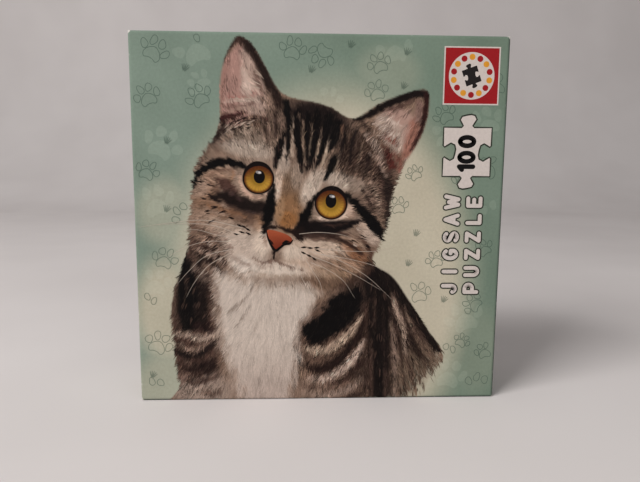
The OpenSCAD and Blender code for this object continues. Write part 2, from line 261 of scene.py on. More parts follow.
# Markings, [points, widths along them, colour, softness, strength]
MARKS = [
    # left shoulder and side
    ([(-58, 65), (-56, 58), (-55.6, 50), (-55.6, 42), (-55.6, 35)],
     (4, 7, 9.5, 10.5, 7), BLACK, 1.6, 0.98),
    ([(-61, 54), (-62, 46), (-62.2, 37)], (0.8, 2.0, 1.6), (84, 66, 57), 1.0, 0.8),
    ([(-57, 57), (-56.4, 51), (-57.4, 46)], (0.4, 1.1, 0.5), (72, 55, 48), 0.8, 0.7),
    ([(-53, 44), (-52.4, 38.6)], (0.8, 0.5), (66, 49, 42), 0.8, 0.65),
    ([(-51, 63), (-49.5, 56), (-48.5, 48), (-50, 40), (-49, 33)], (2, 4, 5, 6, 3), SOOT, 1.3, 0.97),
    ([(-47, 52), (-46, 46), (-46.5, 40)], (1.4, 3.0, 1.6), (60, 43, 37), 1.4, 0.85),
    ([(-45.6, 59), (-43.4, 51), (-44, 43), (-43, 35)], (0.8, 1.8, 1.6, 0.8), (112, 92, 80), 1.6, 0.7),
    ([(-53, 34.5), (-48, 33.2), (-43.5, 30)], (3, 3.4, 1.0), (32, 19, 18), 0.9, 0.95),
    ([(-53, 59.5), (-50, 57), (-48, 54)], (2.4, 3, 1.4), (120, 101, 90), 1.0, 0.8),
    ([(-62, 31), (-56, 30), (-50, 28.4), (-44, 30.5)], (1.5, 2.6, 3.6, 3), (154, 134, 120), 1.1, 0.95),
    ([(-59, 27.5), (-53, 25.5), (-46, 28)], (0.6, 1.0, 0.5), (66, 47, 41), 0.7, 0.85),
    ([(-61, 26), (-55, 23.4), (-49, 25), (-44, 28)], (1.4, 2.6, 2.2, 1.2), (134, 112, 99), 0.9, 0.9),
    ([(-62, 24), (-58, 21.4), (-52, 21.4), (-46.5, 25.5), (-43.5, 28.5)],
     (2, 3.2, 3, 2, 0.6), SOOT, 0.9, 0.97),
    ([(-58, 18), (-52, 17), (-46, 20.5)], (1, 1.6, 0.8), (112, 92, 80), 0.8, 0.8),
    ([(-57.6, 15.4), (-53, 14.4), (-48, 16), (-45, 18.5)], (3, 7.4, 7.4, 3), (34, 22, 19), 1.6, 0.96),
    ([(-58, 13), (-53, 12.4), (-49, 13.6)], (0.5, 1.0, 0.5), (84, 62, 54), 0.8, 0.7),
    ([(-59, 9.6), (-53, 9), (-47, 10.4), (-43, 13)], (1.4, 2.8, 2.6, 0.8), (58, 42, 37), 1.1, 0.9),
    ([(-60.5, 12), (-56, 10.5)], (2, 1), (110, 84, 74), 0.9, 0.7),
    ([(-50, 4.5), (-45, 3.5), (-42, 6)], (2, 3, 1), (84, 65, 56), 1.2, 0.8),
    # neck below the left cheek
    ([(-52, 70), (-47, 67.4), (-42, 63.4), (-39, 60)], (1.6, 2.4, 1.6, 0.6), (48, 33, 28), 0.7, 0.95),
    ([(-50, 67.6), (-45, 65), (-40.4, 61)], (0.6, 1.2, 0.6), (160, 139, 126), 0.6, 0.85),
    ([(-53, 66), (-48, 63.4), (-43, 60.2), (-39.5, 57)], (1.4, 2.2, 1.8, 0.8), SOOT, 0.8, 0.92),
    ([(-50, 74.6), (-44, 71.6), (-39, 66.6)], (1.0, 1.9, 0.7), (70, 51, 43), 0.7, 0.85),
    ([(-45, 75.6), (-40, 71.6), (-36.4, 66.4)], (0.5, 0.9, 0.4), (116, 92, 80), 0.7, 0.7),
    ([(-53.4, 77), (-49, 75), (-45.6, 71.6)], (1, 1.7, 0.8), (74, 54, 45), 0.8, 0.85),
    ([(-54.5, 72), (-55, 66)], (1.4, 1.8), (60, 43, 37), 0.9, 0.85),
    ([(-27.5, 52.5), (-31, 47.5), (-35, 43.5), (-39, 40)],
     (0.5, 1.0, 1.1, 0.4), (118, 103, 93), 0.6, 0.8),
    ([(-29, 44), (-32, 39.5), (-35, 34)], (0.4, 0.9, 0.3), (126, 111, 101), 0.6, 0.75),
    ([(-25.5, 37.5), (-27, 34.5), (-28.5, 31)], (0.3, 0.7, 0.3), (134, 120, 110), 0.5, 0.7),
    ([(-40, 57), (-32, 55.5), (-24, 52.6), (-10, 52), (0, 48)],
     (1.4, 2.4, 2.6, 2.4, 1.6), (160, 143, 130), 1.3, 0.75),
    # right side of the body
    ([(20.5, 60), (24, 52), (25.5, 42), (26, 28), (26.5, 14), (27, -2)],
     (4, 10.4, 9.6, 8.4, 7, 6), (16, 10, 9), 1.6, 0.97),
    ([(21, 45), (20, 36), (20, 26)], (1.0, 1.6, 1.0), (62, 44, 37), 0.9, 0.75),
    ([(24, 52), (23.6, 42), (24.2, 31)], (0.6, 1.6, 0.8), (48, 34, 29), 0.8, 0.8),
    ([(27.6, 42), (28, 30), (28.4, 19)], (0.6, 1.3, 0.6), (44, 31, 27), 0.8, 0.7),
    ([(22.6, 28), (22.8, 15), (23, 2)], (0.8, 1.8, 1.4), (66, 49, 42), 0.9, 0.8),
    ([(28.6, 17), (29, 8), (29, -2)], (0.8, 1.6, 1.6), (60, 44, 38), 0.9, 0.8),
    ([(23, 60.5), (29, 55.5), (34, 49.5), (39, 42.5), (44, 35), (48.5, 28), (52, 22.5)],
     (4, 5.5, 6, 5.5, 5.5, 5, 2.6), (20, 13, 11), 1.0, 0.97),
    ([(31.5, 47), (33, 41.5), (35, 35.5), (36.6, 29), (37, 22)],
     (1.0, 2.4, 3.0, 2.6, 1.4), (150, 128, 113), 0.9, 0.95),
    ([(30.8, 36), (32, 29), (32.6, 21), (33.4, 13)], (0.8, 2.0, 2.4, 2.0), (126, 105, 93), 0.9, 0.9),
    ([(36.5, 42), (38.6, 36.5), (40, 31.5)], (0.6, 1.6, 0.8), (116, 96, 82), 0.8, 0.9),
    ([(34.6, 30), (35.6, 22), (36, 14)], (0.8, 1.2, 0.8), (44, 31, 26), 0.7, 0.85),
    ([(38.5, 31), (41, 25), (44.5, 19.5)], (1.6, 3.2, 2), (34, 23, 19), 0.9, 0.95),
    ([(42, 29), (45.4, 24), (49, 19)], (0.8, 1.4, 0.8), (98, 78, 66), 0.7, 0.85),
    ([(37, 20), (40, 13.5), (41, 7)], (1.2, 2.0, 1.2), (72, 54, 46), 0.9, 0.8),
    ([(44, 22), (46.6, 16.6), (48.6, 12)], (0.8, 2.0, 1.0), (56, 41, 34), 0.9, 0.8),
    ([(32.6, 14), (33.4, 6), (33, -2)], (1.2, 2.4, 2.4), (120, 100, 88), 1.0, 0.85),
    ([(36.6, 12), (37.4, 4), (36.5, -2)], (1, 1.6, 1.6), (66, 50, 42), 1.0, 0.8),
    ([(-6.5, 24.4), (-1, 22.4), (5, 23.4), (10.5, 27.6), (15, 32.4), (18.4, 38)],
     (1.5, 4.4, 4.6, 4.2, 3.4, 1.4), (164, 141, 123), 0.9, 1.0),
    ([(-4, 21.5), (3, 20.4), (9, 23.4), (14, 28)], (0.6, 1.0, 1.0, 0.6), (72, 52, 42), 0.6, 0.8),
    ([(-7, 16.8), (-1, 14.6), (4.5, 15.6), (9.5, 19), (13.5, 23.6), (17.5, 30), (19, 35)],
     (2, 4, 4.4, 4, 3.4, 3, 1.4), (30, 18, 15), 0.9, 0.98),
    ([(-5, 10.6), (2, 10.2), (8, 12.4), (13, 16.6), (17, 22), (19.4, 27)],
     (1, 3.0, 4.0, 4.0, 3.2, 1.4), (164, 142, 129), 0.9, 1.0),
    ([(4, 8.2), (10, 9), (15, 12.6), (19, 18)], (1, 2.2, 2.8, 1.6), (48, 33, 28), 0.9, 0.92),
    ([(-2, 1.4), (5, 2.6), (12, 4.6), (18.4, 9.4)], (2, 3, 3.2, 1.6), (140, 119, 107), 1.0, 0.9),
    ([(-7, 7), (-2, 6.4), (3, 4.4)], (1.4, 2, 1), (80, 60, 51), 0.9, 0.8),
    ([(12, 1), (17, 2.4), (20, 6)], (2, 3, 1.6), (46, 33, 28), 1.0, 0.85),
    ([(-3, 43.4), (2, 46.5), (8, 50.5)], (1.6, 1.8, 1.2), (120, 96, 80), 0.8, 0.5),
    # crown and forehead
    ([(-14.5, 127), (-13.2, 119), (-13.4, 110), (-14.4, 102.5)], (3.0, 2.4, 1.9, 0.5), BLACK, 0.5, 0.97),
    ([(-11.4, 121), (-11.4, 113), (-12, 105)], (0.9, 2.0, 1.0), (156, 136, 120), 0.45, 0.95),
    ([(-9.6, 123), (-9.7, 114), (-8.7, 105.5), (-7.8, 99)], (3, 3.1, 2.9, 0.8), BLACK, 0.5, 0.98),
    ([(-7.4, 119), (-7.3, 112), (-6.4, 105)], (0.6, 1.3, 0.8), (150, 126, 106), 0.4, 0.9),
    ([(-5.4, 122), (-6, 112), (-5.6, 104), (-6.2, 98.5)], (2.4, 2.1, 1.6, 0.4), BLACK, 0.5, 0.95),
    ([(-3.7, 117), (-4.2, 110), (-4.4, 104)], (0.4, 1.2, 0.9), (158, 136, 116), 0.4, 0.9),
    ([(-1.6, 122), (-2.6, 112), (-4, 104), (-5.2, 100.5)], (3.2, 2.8, 1.8, 0.5), BLACK, 0.5, 0.97),
    ([(0.2, 116), (-0.7, 110), (-2.2, 103.4)], (0.4, 1.3, 0.9), (160, 138, 118), 0.4, 0.92),
    ([(3, 121), (1.4, 112), (-0.8, 104.6), (-2.2, 101)], (3.6, 3, 1.8, 0.5), BLACK, 0.5, 0.97),
    ([(3.6, 113), (2.2, 108), (0.6, 102.4)], (0.5, 1.4, 1.2), (162, 142, 124), 0.45, 0.92),
    ([(6.4, 118), (5, 112), (3.2, 107.4)], (4.2, 3.6, 1.2), BLACK, 0.6, 0.97),
    ([(5.6, 104.6), (4.2, 101), (1.2, 95.4)], (3.2, 3.8, 0.8), BLACK, 0.5, 0.98),
    ([(8.6, 108.6), (7, 104), (5.4, 99)], (0.8, 1.2, 0.6), (138, 118, 102), 0.5, 0.8),
    ([(10.4, 117), (9, 111), (7.6, 105)], (1.8, 2.0, 0.6), (18, 12, 11), 0.6, 0.9),
    ([(7.8, 117.4), (8.6, 113)], (1.2, 0.6), (126, 92, 72), 0.5, 0.8),
    ([(10.4, 115.6), (11.6, 112)], (1.0, 0.5), (112, 88, 72), 0.5, 0.7),
    ([(-9.4, 121.6), (-8.2, 119)], (1.0, 0.5), (96, 78, 68), 0.5, 0.7),
    ([(14, 116), (12.4, 109), (11.6, 102)], (1.4, 1.8, 0.6), (22, 15, 14), 0.6, 0.85),
    ([(17, 111), (15.6, 105), (14.6, 100)], (0.7, 1.4, 0.7), (122, 101, 86), 0.6, 0.7),
    ([(20, 107), (18.8, 101), (17, 96)], (1, 1.8, 0.8), (30, 21, 19), 0.7, 0.8),
    ([(-15.4, 113.8), (-17.2, 108), (-18.9, 101)], (1.4, 3.8, 1.4), BLACK, 0.5, 0.98),
    ([(-18.6, 126), (-18.4, 119), (-18.8, 113)], (1.6, 1.6, 0.6), (48, 35, 31), 0.6, 0.85),
    ([(-22, 122), (-22.6, 116), (-22, 110)], (0.8, 1.2, 0.5), (60, 45, 39), 0.6, 0.75),
    ([(-26, 120), (-27.4, 115), (-28, 111)], (0.6, 1, 0.4), (84, 66, 57), 0.6, 0.65),
    ([(-31, 119), (-33.6, 115)], (0.8, 0.5), (92, 73, 63), 0.6, 0.6),
    ([(-36, 119), (-40, 115.6), (-44.5, 111)], (2.2, 3, 2), (34, 23, 21), 0.7, 0.9),
    ([(-32.5, 118), (-36, 113.4), (-41, 110.4)], (0.6, 0.9, 0.5), (80, 61, 52), 0.6, 0.75),
    ([(-46, 108.4), (-49, 104), (-51, 100)], (0.8, 1.4, 0.8), (74, 55, 47), 0.6, 0.8),
    # around the left eye
    ([(-31.4, 101.2), (-36.5, 102.6), (-43, 102.4), (-48.4, 99.6), (-51.6, 96), (-52.8, 92.4)],
     (1.8, 3.2, 3.6, 3.2, 2.6, 1.2), BLACK, 0.5, 1.0),
    ([(-36, 100), (-42, 99.6), (-46.5, 97)], (0.6, 1.4, 0.8), (96, 72, 60), 0.6, 0.8),
    ([(-33.4, 98.4), (-33, 93.6), (-30.4, 90.2), (-26.2, 88.6), (-22, 90.2)],
     (0.5, 1.0, 1.4, 1.5, 1.0), (196, 162, 142), 0.5, 0.95),
    ([(-36, 98.6), (-37.6, 94.6)], (1.4, 0.8), (152, 112, 84), 0.7, 0.8),
    ([(-42, 96), (-39, 93.6), (-36.4, 90.6)], (2, 5, 4.4), (66, 44, 38), 1.0, 0.9),
    ([(-45, 94.5), (-43, 92), (-42.6, 89.6)], (1.2, 2.6, 1.6), (104, 78, 64), 0.8, 0.85),
    ([(-46.4, 89.4), (-43.6, 87.8), (-41, 87)], (0.8, 2.0, 1.0), (24, 15, 14), 0.5, 0.97),
    ([(-40, 88.6), (-36, 85), (-30, 82), (-24, 80)], (2, 4, 4.4, 3), (78, 58, 48), 1.6, 0.9),
    ([(-45.6, 88.6), (-41.4, 89.4), (-37.4, 88.4), (-33, 86.4), (-28, 84.8), (-22.6, 84.4)],
     (1.4, 3.4, 5.6, 5.6, 5.0, 4.6), (22, 14, 12), 1.2, 0.96),
    ([(-39, 92.4), (-36.6, 90.2)], (0.8, 1.6), (84, 64, 58), 0.7, 0.7),
    ([(-31, 83.4), (-27.4, 82.4)], (0.5, 1.0), (64, 50, 48), 0.7, 0.7),
    ([(-47, 85.6), (-42, 84.2), (-37, 82.6), (-31, 80.6)],
     (0.8, 1.8, 1.8, 0.9), (122, 88, 66), 0.9, 0.85),
    ([(-36.4, 90), (-32.6, 87.4)], (0.8, 1), (70, 50, 48), 0.6, 0.7),
    ([(-19.6, 93.6), (-20.6, 88.4), (-21.4, 83), (-22.6, 78), (-23.2, 74.6)],
     (1.0, 3.4, 4.8, 4.0, 2.0), BLACK, 0.6, 1.0),
    ([(-26.6, 80.4), (-24.6, 78.2)], (2.2, 1.6), (140, 106, 82), 0.8, 0.8),
    ([(-35, 81), (-40, 80.4), (-45, 81.6)], (0.8, 1.4, 0.6), (126, 96, 76), 0.8, 0.7),
    # around the right eye
    ([(-1.4, 90), (-4.2, 85.8), (-6.4, 81), (-8, 76.6), (-9.4, 72.6)],
     (0.9, 2.2, 4.0, 4.2, 3.2), BLACK, 0.5, 1.0),
    ([(-2.6, 81.2), (0.6, 79.4), (5, 79.2), (9, 80.6), (11.6, 83.6)],
     (1.0, 1.7, 1.7, 1.8, 2.2), (202, 176, 158), 0.4, 1.0),
    ([(11.6, 82), (12.6, 85.4)], (2.4, 1.8), (186, 158, 140), 0.5, 0.9),
    ([(-8, 76), (-1.6, 75.9), (4, 75.9), (10, 77), (16, 79.2)],
     (5.0, 6.2, 6.0, 4.2, 1.2), (15, 9, 9), 0.9, 0.99),
    ([(-9, 73), (-3, 72.4), (4, 72), (11, 73)], (2, 3.2, 3.2, 1.4), (56, 40, 34), 0.9, 0.92),
    ([(-5, 70.8), (1, 71.2), (7, 70.6)], (0.5, 1.0, 0.5), (120, 96, 82), 0.7, 0.7),
    ([(1, 77.2), (6, 77), (11, 78)], (0.5, 1.0, 0.5), (74, 52, 44), 0.6, 0.7),
    ([(10.4, 90), (14, 86.4), (18.4, 81.6), (22.4, 77), (26.2, 71.8)],
     (1.1, 3.0, 4.6, 4.8, 2.8), BLACK, 0.6, 0.99),
    ([(3, 72.8), (11, 69.6), (17.6, 64.6)], (0.8, 2.0, 1.4), (44, 29, 24), 0.6, 0.95),
    ([(15, 72.6), (19, 69), (21.6, 65)], (0.6, 1.4, 1.0), (80, 58, 48), 0.6, 0.85),
    ([(6, 65.4), (12, 62.6), (17, 59.6)], (0.5, 1.2, 0.7), (120, 92, 74), 0.7, 0.8),
    ([(8, 72.4), (14, 70.6), (19, 67.6)], (0.6, 1.2, 0.8), (170, 142, 120), 0.5, 0.8),
    ([(19.4, 67.6), (22, 63.6), (22, 60.6)], (1.4, 1.8, 1.4), (76, 52, 42), 0.7, 0.9),
    ([(24.6, 101), (27.6, 94), (28.4, 86), (27.4, 78), (25.8, 72)],
     (2.4, 3.6, 3.2, 2, 1), (28, 19, 17), 0.8, 0.9),
    ([(20, 95), (23.2, 89), (24.6, 82)], (0.8, 1.4, 0.9), (140, 119, 104), 0.6, 0.85),
    ([(17, 92), (20.4, 86.6), (22.2, 82)], (0.6, 1.1, 0.6), (40, 28, 25), 0.5, 0.8),
    ([(22, 60.4), (16, 55.8), (8, 51.6)], (1.6, 2.2, 1), (70, 50, 40), 0.8, 0.9),
    ([(-8, 55), (-1, 53.4), (6, 52.6), (12, 54.4)], (1.4, 3.8, 4.4, 2.2), (98, 76, 62), 1.2, 0.9),
    ([(6, 50.6), (11, 52), (16, 55)], (0.8, 2.4, 1.6), (64, 46, 38), 0.9, 0.85),
    ([(17, 53), (20, 56.4), (22, 59)], (1, 2, 1), (44, 30, 25), 0.8, 0.8),
    # nose and mouth
    ([(-23.2, 75.6), (-19.7, 76.2), (-14, 74.8), (-9.4, 72.4)],
     (1.2, 0.9, 1.3, 2.8), (26, 14, 11), 0.45, 0.97),
    ([(-8.8, 74.5), (-8.4, 70.6)], (3.2, 1.4), (26, 16, 13), 0.6, 0.95),
    ([(-23.4, 72), (-22.8, 68)], (1, 0.6), (120, 92, 78), 0.6, 0.6),
    ([(-19.6, 66), (-19.9, 62.4)], (1.0, 0.7), (26, 16, 14), 0.35, 0.97),
    ([(-28, 63.4), (-24.4, 61.5), (-21.4, 61.7), (-19.8, 62.5), (-17.4, 61.3), (-13, 59.6), (-8, 58.4)],
     (0.3, 0.9, 1.3, 1.4, 1.1, 0.7, 0.3), (96, 74, 64), 0.55, 0.85),
    ([(-30, 57.4), (-19, 55.4), (-8, 55.8), (2, 57)], (0.8, 1.4, 1.4, 1.0), (150, 130, 114), 1.0, 0.7),
    ([(-38, 66.4), (-34.4, 62.4), (-30, 60)], (0.8, 1.8, 1.0), (142, 122, 110), 1.0, 0.8),
    ([(-28, 61.4), (-24, 59.6), (-20, 60)], (0.6, 1.4, 0.8), (150, 130, 118), 0.8, 0.7),
]

# Inside of the ears, painted after the rest
EAR_MARKS = [
    ([(-35, 122), (-35.5, 132), (-35.5, 141), (-33.5, 147.5)], (11, 12, 9, 4), PINK, 1.2, 1.0),
    ([(-26.5, 125), (-26.6, 133), (-28.6, 140), (-31, 146)], (8, 9, 7, 4), (164, 140, 128), 2.0, 0.95),
    ([(-31, 126), (-30, 133), (-31.5, 139)], (4, 5, 2), (186, 164, 151), 1.8, 0.85),
    ([(-40.6, 126), (-39.8, 136), (-38, 144)], (1.4, 2, 1.2), (136, 102, 92), 0.8, 0.75),
    ([(-38, 129), (-31, 129.4), (-26, 130.2)], (0.8, 1.2, 0.5), (140, 84, 76), 0.6, 0.7),
    ([(-39.5, 127.2), (-33, 128.2), (-25, 127.6)], (0.8, 1.3, 1.0), (178, 156, 143), 0.6, 0.8),
    ([(-39.6, 124.8), (-33, 126), (-26, 126)], (0.6, 0.9, 0.6), (96, 68, 62), 0.5, 0.75),
    ([(-39, 123), (-34, 124.4), (-28, 124.4), (-22, 121.6)],
     (0.6, 1.1, 1.2, 0.8), (146, 122, 108), 0.6, 0.8),
    ([(-40.8, 119.6), (-38, 121), (-34.4, 121.6), (-30.6, 123.2)],
     (3.2, 3.6, 2.4, 0.8), (52, 26, 24), 0.7, 0.97),
    ([(-37, 118.4), (-31, 119.4), (-25, 117.6)], (0.7, 1.2, 0.7), (74, 54, 46), 0.7, 0.8),
    ([(-39, 116.4), (-34, 117), (-28, 115.6)], (0.6, 1.0, 0.6), (150, 130, 114), 0.6, 0.8),
    ([(-31, 121), (-26, 121.4), (-22, 119.4)], (0.7, 1.2, 0.7), (66, 44, 38), 0.6, 0.85),
    ([(-40.4, 142.5), (-37.6, 148.4), (-34.4, 152.4), (-31, 151.6), (-28, 148.6)],
     (0.8, 2.0, 4.2, 4.8, 3.4), (46, 31, 27), 0.9, 0.95),
    ([(-30.4, 150), (-25.4, 143), (-21.6, 135.6), (-18.6, 129.6), (-16.6, 126)],
     (3.0, 3.6, 4.2, 4.6, 3.0), (32, 21, 18), 1.2, 0.98),
    ([(-26.8, 139), (-24.4, 133), (-23.6, 127)], (1, 1.4, 1), (84, 62, 54), 0.9, 0.8),
    ([(-21, 130.4), (-20.4, 125)], (1.6, 2.4), (120, 98, 86), 0.8, 0.85),
    ([(29, 121.4), (34, 117.6), (36.4, 110)], (10, 13, 7), (158, 128, 116), 1.2, 1.0),
    ([(24.5, 120), (29, 116.4), (31.4, 109)], (5, 8, 5), (170, 150, 137), 1.4, 0.95),
    ([(38.4, 119), (37.8, 112), (34.8, 105.4)], (4, 5, 3.4), (140, 96, 82), 1.2, 0.95),
    ([(40.4, 127), (40.4, 121)], (3, 3.4), (126, 98, 90), 1.0, 0.85),
    ([(24, 113.6), (27.6, 112.8), (31.6, 110.4)], (0.8, 1.6, 0.6), (112, 50, 40), 0.5, 0.9),
    ([(23.6, 108.6), (26.8, 106), (29.4, 101.4)], (0.8, 2.0, 2.4), (70, 34, 29), 0.7, 0.95),
    ([(20.6, 107), (24.4, 102.6), (27, 97.6)], (1.2, 2.0, 1.2), (158, 134, 120), 0.8, 0.85),
    ([(30.6, 105.6), (32.8, 102.4), (32.4, 99)], (1.4, 1.8, 1.2), (112, 66, 56), 0.8, 0.85),
    ([(17.8, 114), (21.6, 110.4), (25, 105)], (2.0, 2.8, 1.4), (172, 150, 136), 0.7, 0.9),
    ([(21, 118.6), (26.6, 116), (31.6, 113.6)], (0.9, 1.7, 0.5), (190, 172, 160), 0.5, 0.9),
    ([(22.6, 121.4), (29, 120), (34.6, 118)], (0.8, 1.5, 0.4), (188, 168, 156), 0.5, 0.85),
    ([(21.4, 115.6), (26, 112.6), (30, 108.6)], (0.8, 1.5, 0.5), (188, 168, 156), 0.5, 0.85),
    ([(22.6, 119.4), (28.6, 117.6), (34, 115)], (0.4, 0.8, 0.4), (112, 86, 76), 0.4, 0.7),
    ([(21.6, 117), (27, 114.4), (31, 111)], (0.4, 0.8, 0.4), (104, 76, 66), 0.4, 0.7),
    ([(25, 110.6), (28, 106.6), (30.4, 101.6)], (0.6, 1.6, 2.0), (70, 34, 29), 0.6, 0.9),
    ([(15.4, 120.8), (18.6, 116.6), (20, 111.6)], (2.4, 1.6, 0.8), (46, 33, 29), 0.8, 0.8),
    ([(13.6, 120.4), (19, 122.6), (25, 126), (32, 129.2), (39, 131.6), (43.2, 131)],
     (1.4, 2.6, 3, 3.6, 4, 3.4), (18, 11, 10), 0.7, 0.98),
    ([(28, 124.6), (34, 127), (38, 128.4)], (1.4, 2, 1.6), (78, 57, 50), 0.8, 0.8),
    ([(43.4, 131), (43, 123), (40.6, 114.6), (37.6, 108.4)],
     (2.4, 2.2, 1.9, 1.0), (40, 20, 18), 0.6, 0.96),
    ([(35.4, 104.4), (32.8, 97.6)], (0.9, 0.7), (178, 158, 146), 0.5, 0.8),
]

# Where the coat is flecked with light and dark hairs, [middle, radii, turn, strength]
FLECKS = [
    ((14, 107), (12, 13), -30, 1.0), ((24, 92), (7, 13), 0, 0.9), ((-4, 118), (14, 9), -12, 0.6),
    ((-28, 115), (18, 8), -8, 0.85), ((-48, 97), (7, 12), 0, 0.45), ((-48, 68), (10, 9), -20, 0.7),
    ((28, 28), (24, 34), 0, 0.8), ((4, 18), (16, 16), 0, 0.65), ((-54, 30), (10, 36), 0, 0.7),
    ((12, 62), (12, 8), -30, 0.5), ((-20, 124), (5, 10), 20, 0.6),
]


def soft_spot(u, v, middle, radii, turn=0):
    """1 in the middle of a soft ellipse and 0 outside it."""
    du, dv = turned(u - middle[0], v - middle[1], -turn)
    return 1 - ramp(0.55, 1.25, np.hypot(du / radii[0], dv / radii[1]))


def fleck_strength(u, v):
    total = np.zeros(u.shape)
    for middle, radii, turn, strength in FLECKS:
        total = np.maximum(total, soft_spot(u, v, middle, radii, turn) * strength)
    return total


# The cream glow behind the cat reaches a different way to each side
GLOW_MIDDLE = (8, 50)
GLOW_LEFT, GLOW_RIGHT, GLOW_UP, GLOW_DOWN = 74, 57.5, 84, 82
# Smaller glows near the edges, [middle, radii, strength]
EDGE_GLOWS = [
    ((-65, 40), (15, 26), 0.9), ((-66, 4), (16, 22), 0.62), ((-64, 82), (14, 16), 0.5),
    ((27, 139), (15, 12), 0.28), ((69, 22), (13, 22), 0.2),
]


def backdrop(u, v):
    """Green at the edges, with a cream glow behind the cat."""
    du, dv = u - GLOW_MIDDLE[0], v - GLOW_MIDDLE[1]
    across, along = np.where(du > 0, GLOW_RIGHT, GLOW_LEFT), np.where(dv > 0, GLOW_UP, GLOW_DOWN)
    glow = 1 - ramp(0.80, 1.16, np.hypot(du / across, dv / along))
    for middle, radii, strength in EDGE_GLOWS:
        glow = np.maximum(glow, soft_spot(u, v, middle, radii) * strength)
    green = over(GREEN_LEFT, GREEN_RIGHT, ramp(-60, 70, u))
    haze = ripple(u, v, 38, 3) * 3.0 + ripple(u, v, 15, 4) * 1.4
    return over(green, CREAM, glow) + haze[..., None]


# No mark is painted further from its path than this
MARK_REACH = 7


def add_marks(colour, u, v, marks, wobble):
    """Tapered strokes with soft edges, each laid over the ones before it."""
    for points, widths, tint, soft, strength in marks:
        path = curve(points, steps=4)
        low, high = path.min(0) - MARK_REACH, path.max(0) + MARK_REACH
        near = (u > low[0]) & (u < high[0]) & (v > low[1]) & (v < high[1])
        if near.any():
            gap = near_path(u[near], v[near], path, widths) + wobble[near]
            colour[near] = over(colour[near], tint, (1 - ramp(-soft, soft, gap)) * strength)
    return colour


def cat_colour(u, v):
    """The coat's colour, before single hairs are drawn over it."""
    colour = np.broadcast_to(TAN, u.shape + (3,)).copy()
    for middle, radii, turn, tint, strength in AREAS:
        colour = over(colour, tint, soft_spot(u, v, middle, radii, turn) * strength)
    wobble = ripple(u, v, 2.6, 11) * 0.3
    feather = ripple(u, v * 0.45, 3.4, 21) * 1.1 + wobble * 2
    chest = ramp(-3.2, 3.2, depth_in(u, v, CHEST) + feather)
    colour = over(colour, over(CHEST_SHADE, WHITE * 0.96, ramp(-8, 34, v)), chest)
    patch = ramp(-0.8, 1.0, depth_in(u, v, SHOULDER_PATCH) + wobble * 2)
    colour = over(colour, BLACK, patch)
    return add_marks(colour, u, v, MARKS + EAR_MARKS, wobble)


def fade_out(u, v):
    """0 at the picture's lower right, where the cat dissolves, and 1 elsewhere."""
    return ramp(0, 15, (58 - u) * 0.62 + (v - 12) * 0.62)


def cat_cover(u, v):
    """How much of the backdrop the cat hides."""
    return ramp(-0.5, 0.5, depth_in(u, v, CAT_OUTLINE)) * fade_out(u, v)


def picture(u, v):
    """The printed picture's colour at each place, without its hairs, eyes and words."""
    colour = backdrop(u, v)
    cover = np.zeros(u.shape)
    near = (v < CAT_TOP) & (u > CAT_LEFT) & (u < CAT_RIGHT)
    cover[near] = cat_cover(u[near], v[near])
    some = cover > 0.001
    coat = np.zeros(u.shape + (3,))
    coat[some] = cat_colour(u[some], v[some])
    return over(colour, coat, cover)


# ---------------------------------------------------------------- places on the box
def wrap_round(u, v, lift):
    """A place on the lid's outside in metres, from picture lengths that carry on round its edges."""
    half_w, half_h = BOX_W / 2 - EDGE_R, BOX_H / 2 - EDGE_R
    w = v - MID_V
    bend = EDGE_R * math.pi / 2

    def fold(s, half):
        past = np.abs(s) - half
        turn = np.clip(past / EDGE_R, 0, math.pi / 2)
        flat = np.minimum(np.abs(s), half)
        out = flat + (EDGE_R + lift) * np.sin(turn)
        back = EDGE_R - (EDGE_R + lift) * np.cos(turn) + np.maximum(past - bend, 0)
        return np.sign(s) * out, np.where(past > 0, back, -lift)

    x, back_u = fold(u, half_w)
    z, back_v = fold(w, half_h)
    y = FACE_Y + np.maximum(back_u, back_v)
    return np.stack([x, y, z + MID_V], -1) * MM


def on_back(u, v, lift):
    """A place on the back of the base, seen from behind, so u runs the other way."""
    return np.stack([-u, base_high[1] + lift + 0 * u, v], -1) * MM


# ---------------------------------------------------------------- mesh building
def make_mesh(name, verts, faces, colours=None, uvs=None, smooth=False):
    mesh = bpy.data.meshes.new(name)
    mesh.from_pydata([tuple(p) for p in verts], [], [tuple(f) for f in faces])
    if colours is not None:
        layer = mesh.color_attributes.new("ink", "FLOAT_COLOR", "POINT")
        flat = np.ones((len(verts), 4), np.float32)
        flat[:, :3] = colours
        layer.data.foreach_set("color", flat.ravel())
    if uvs is not None:
        layer = mesh.uv_layers.new(name="OFBake")
        loops = np.empty(len(mesh.loops), np.int64)
        mesh.loops.foreach_get("vertex_index", loops)
        layer.data.foreach_set("uv", np.asarray(uvs, np.float32)[loops].ravel())
    mesh.polygons.foreach_set("use_smooth", [smooth] * len(mesh.polygons))
    mesh.update()
    thing = bpy.data.objects.new(name, mesh)
    bpy.context.scene.collection.objects.link(thing)
    return thing


def finish_piece(thing, body, slot, material, *nodes):
    thing.data.materials.append(material)
    if nodes:
        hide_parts(*nodes)
    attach(thing, body)
    return thing


PRINT_GAIN = 1.16
INK_STEP = 0.0002
# How far each part of the print stands off the paper, in mm
PAWS_LIFT, UNDERCOAT_LIFT, LABEL_LIFT, TOPCOAT_LIFT, FEATURES_LIFT = 0.004, 0.036, 0.05, 0.058, 0.08
CAP_POINTS = 5


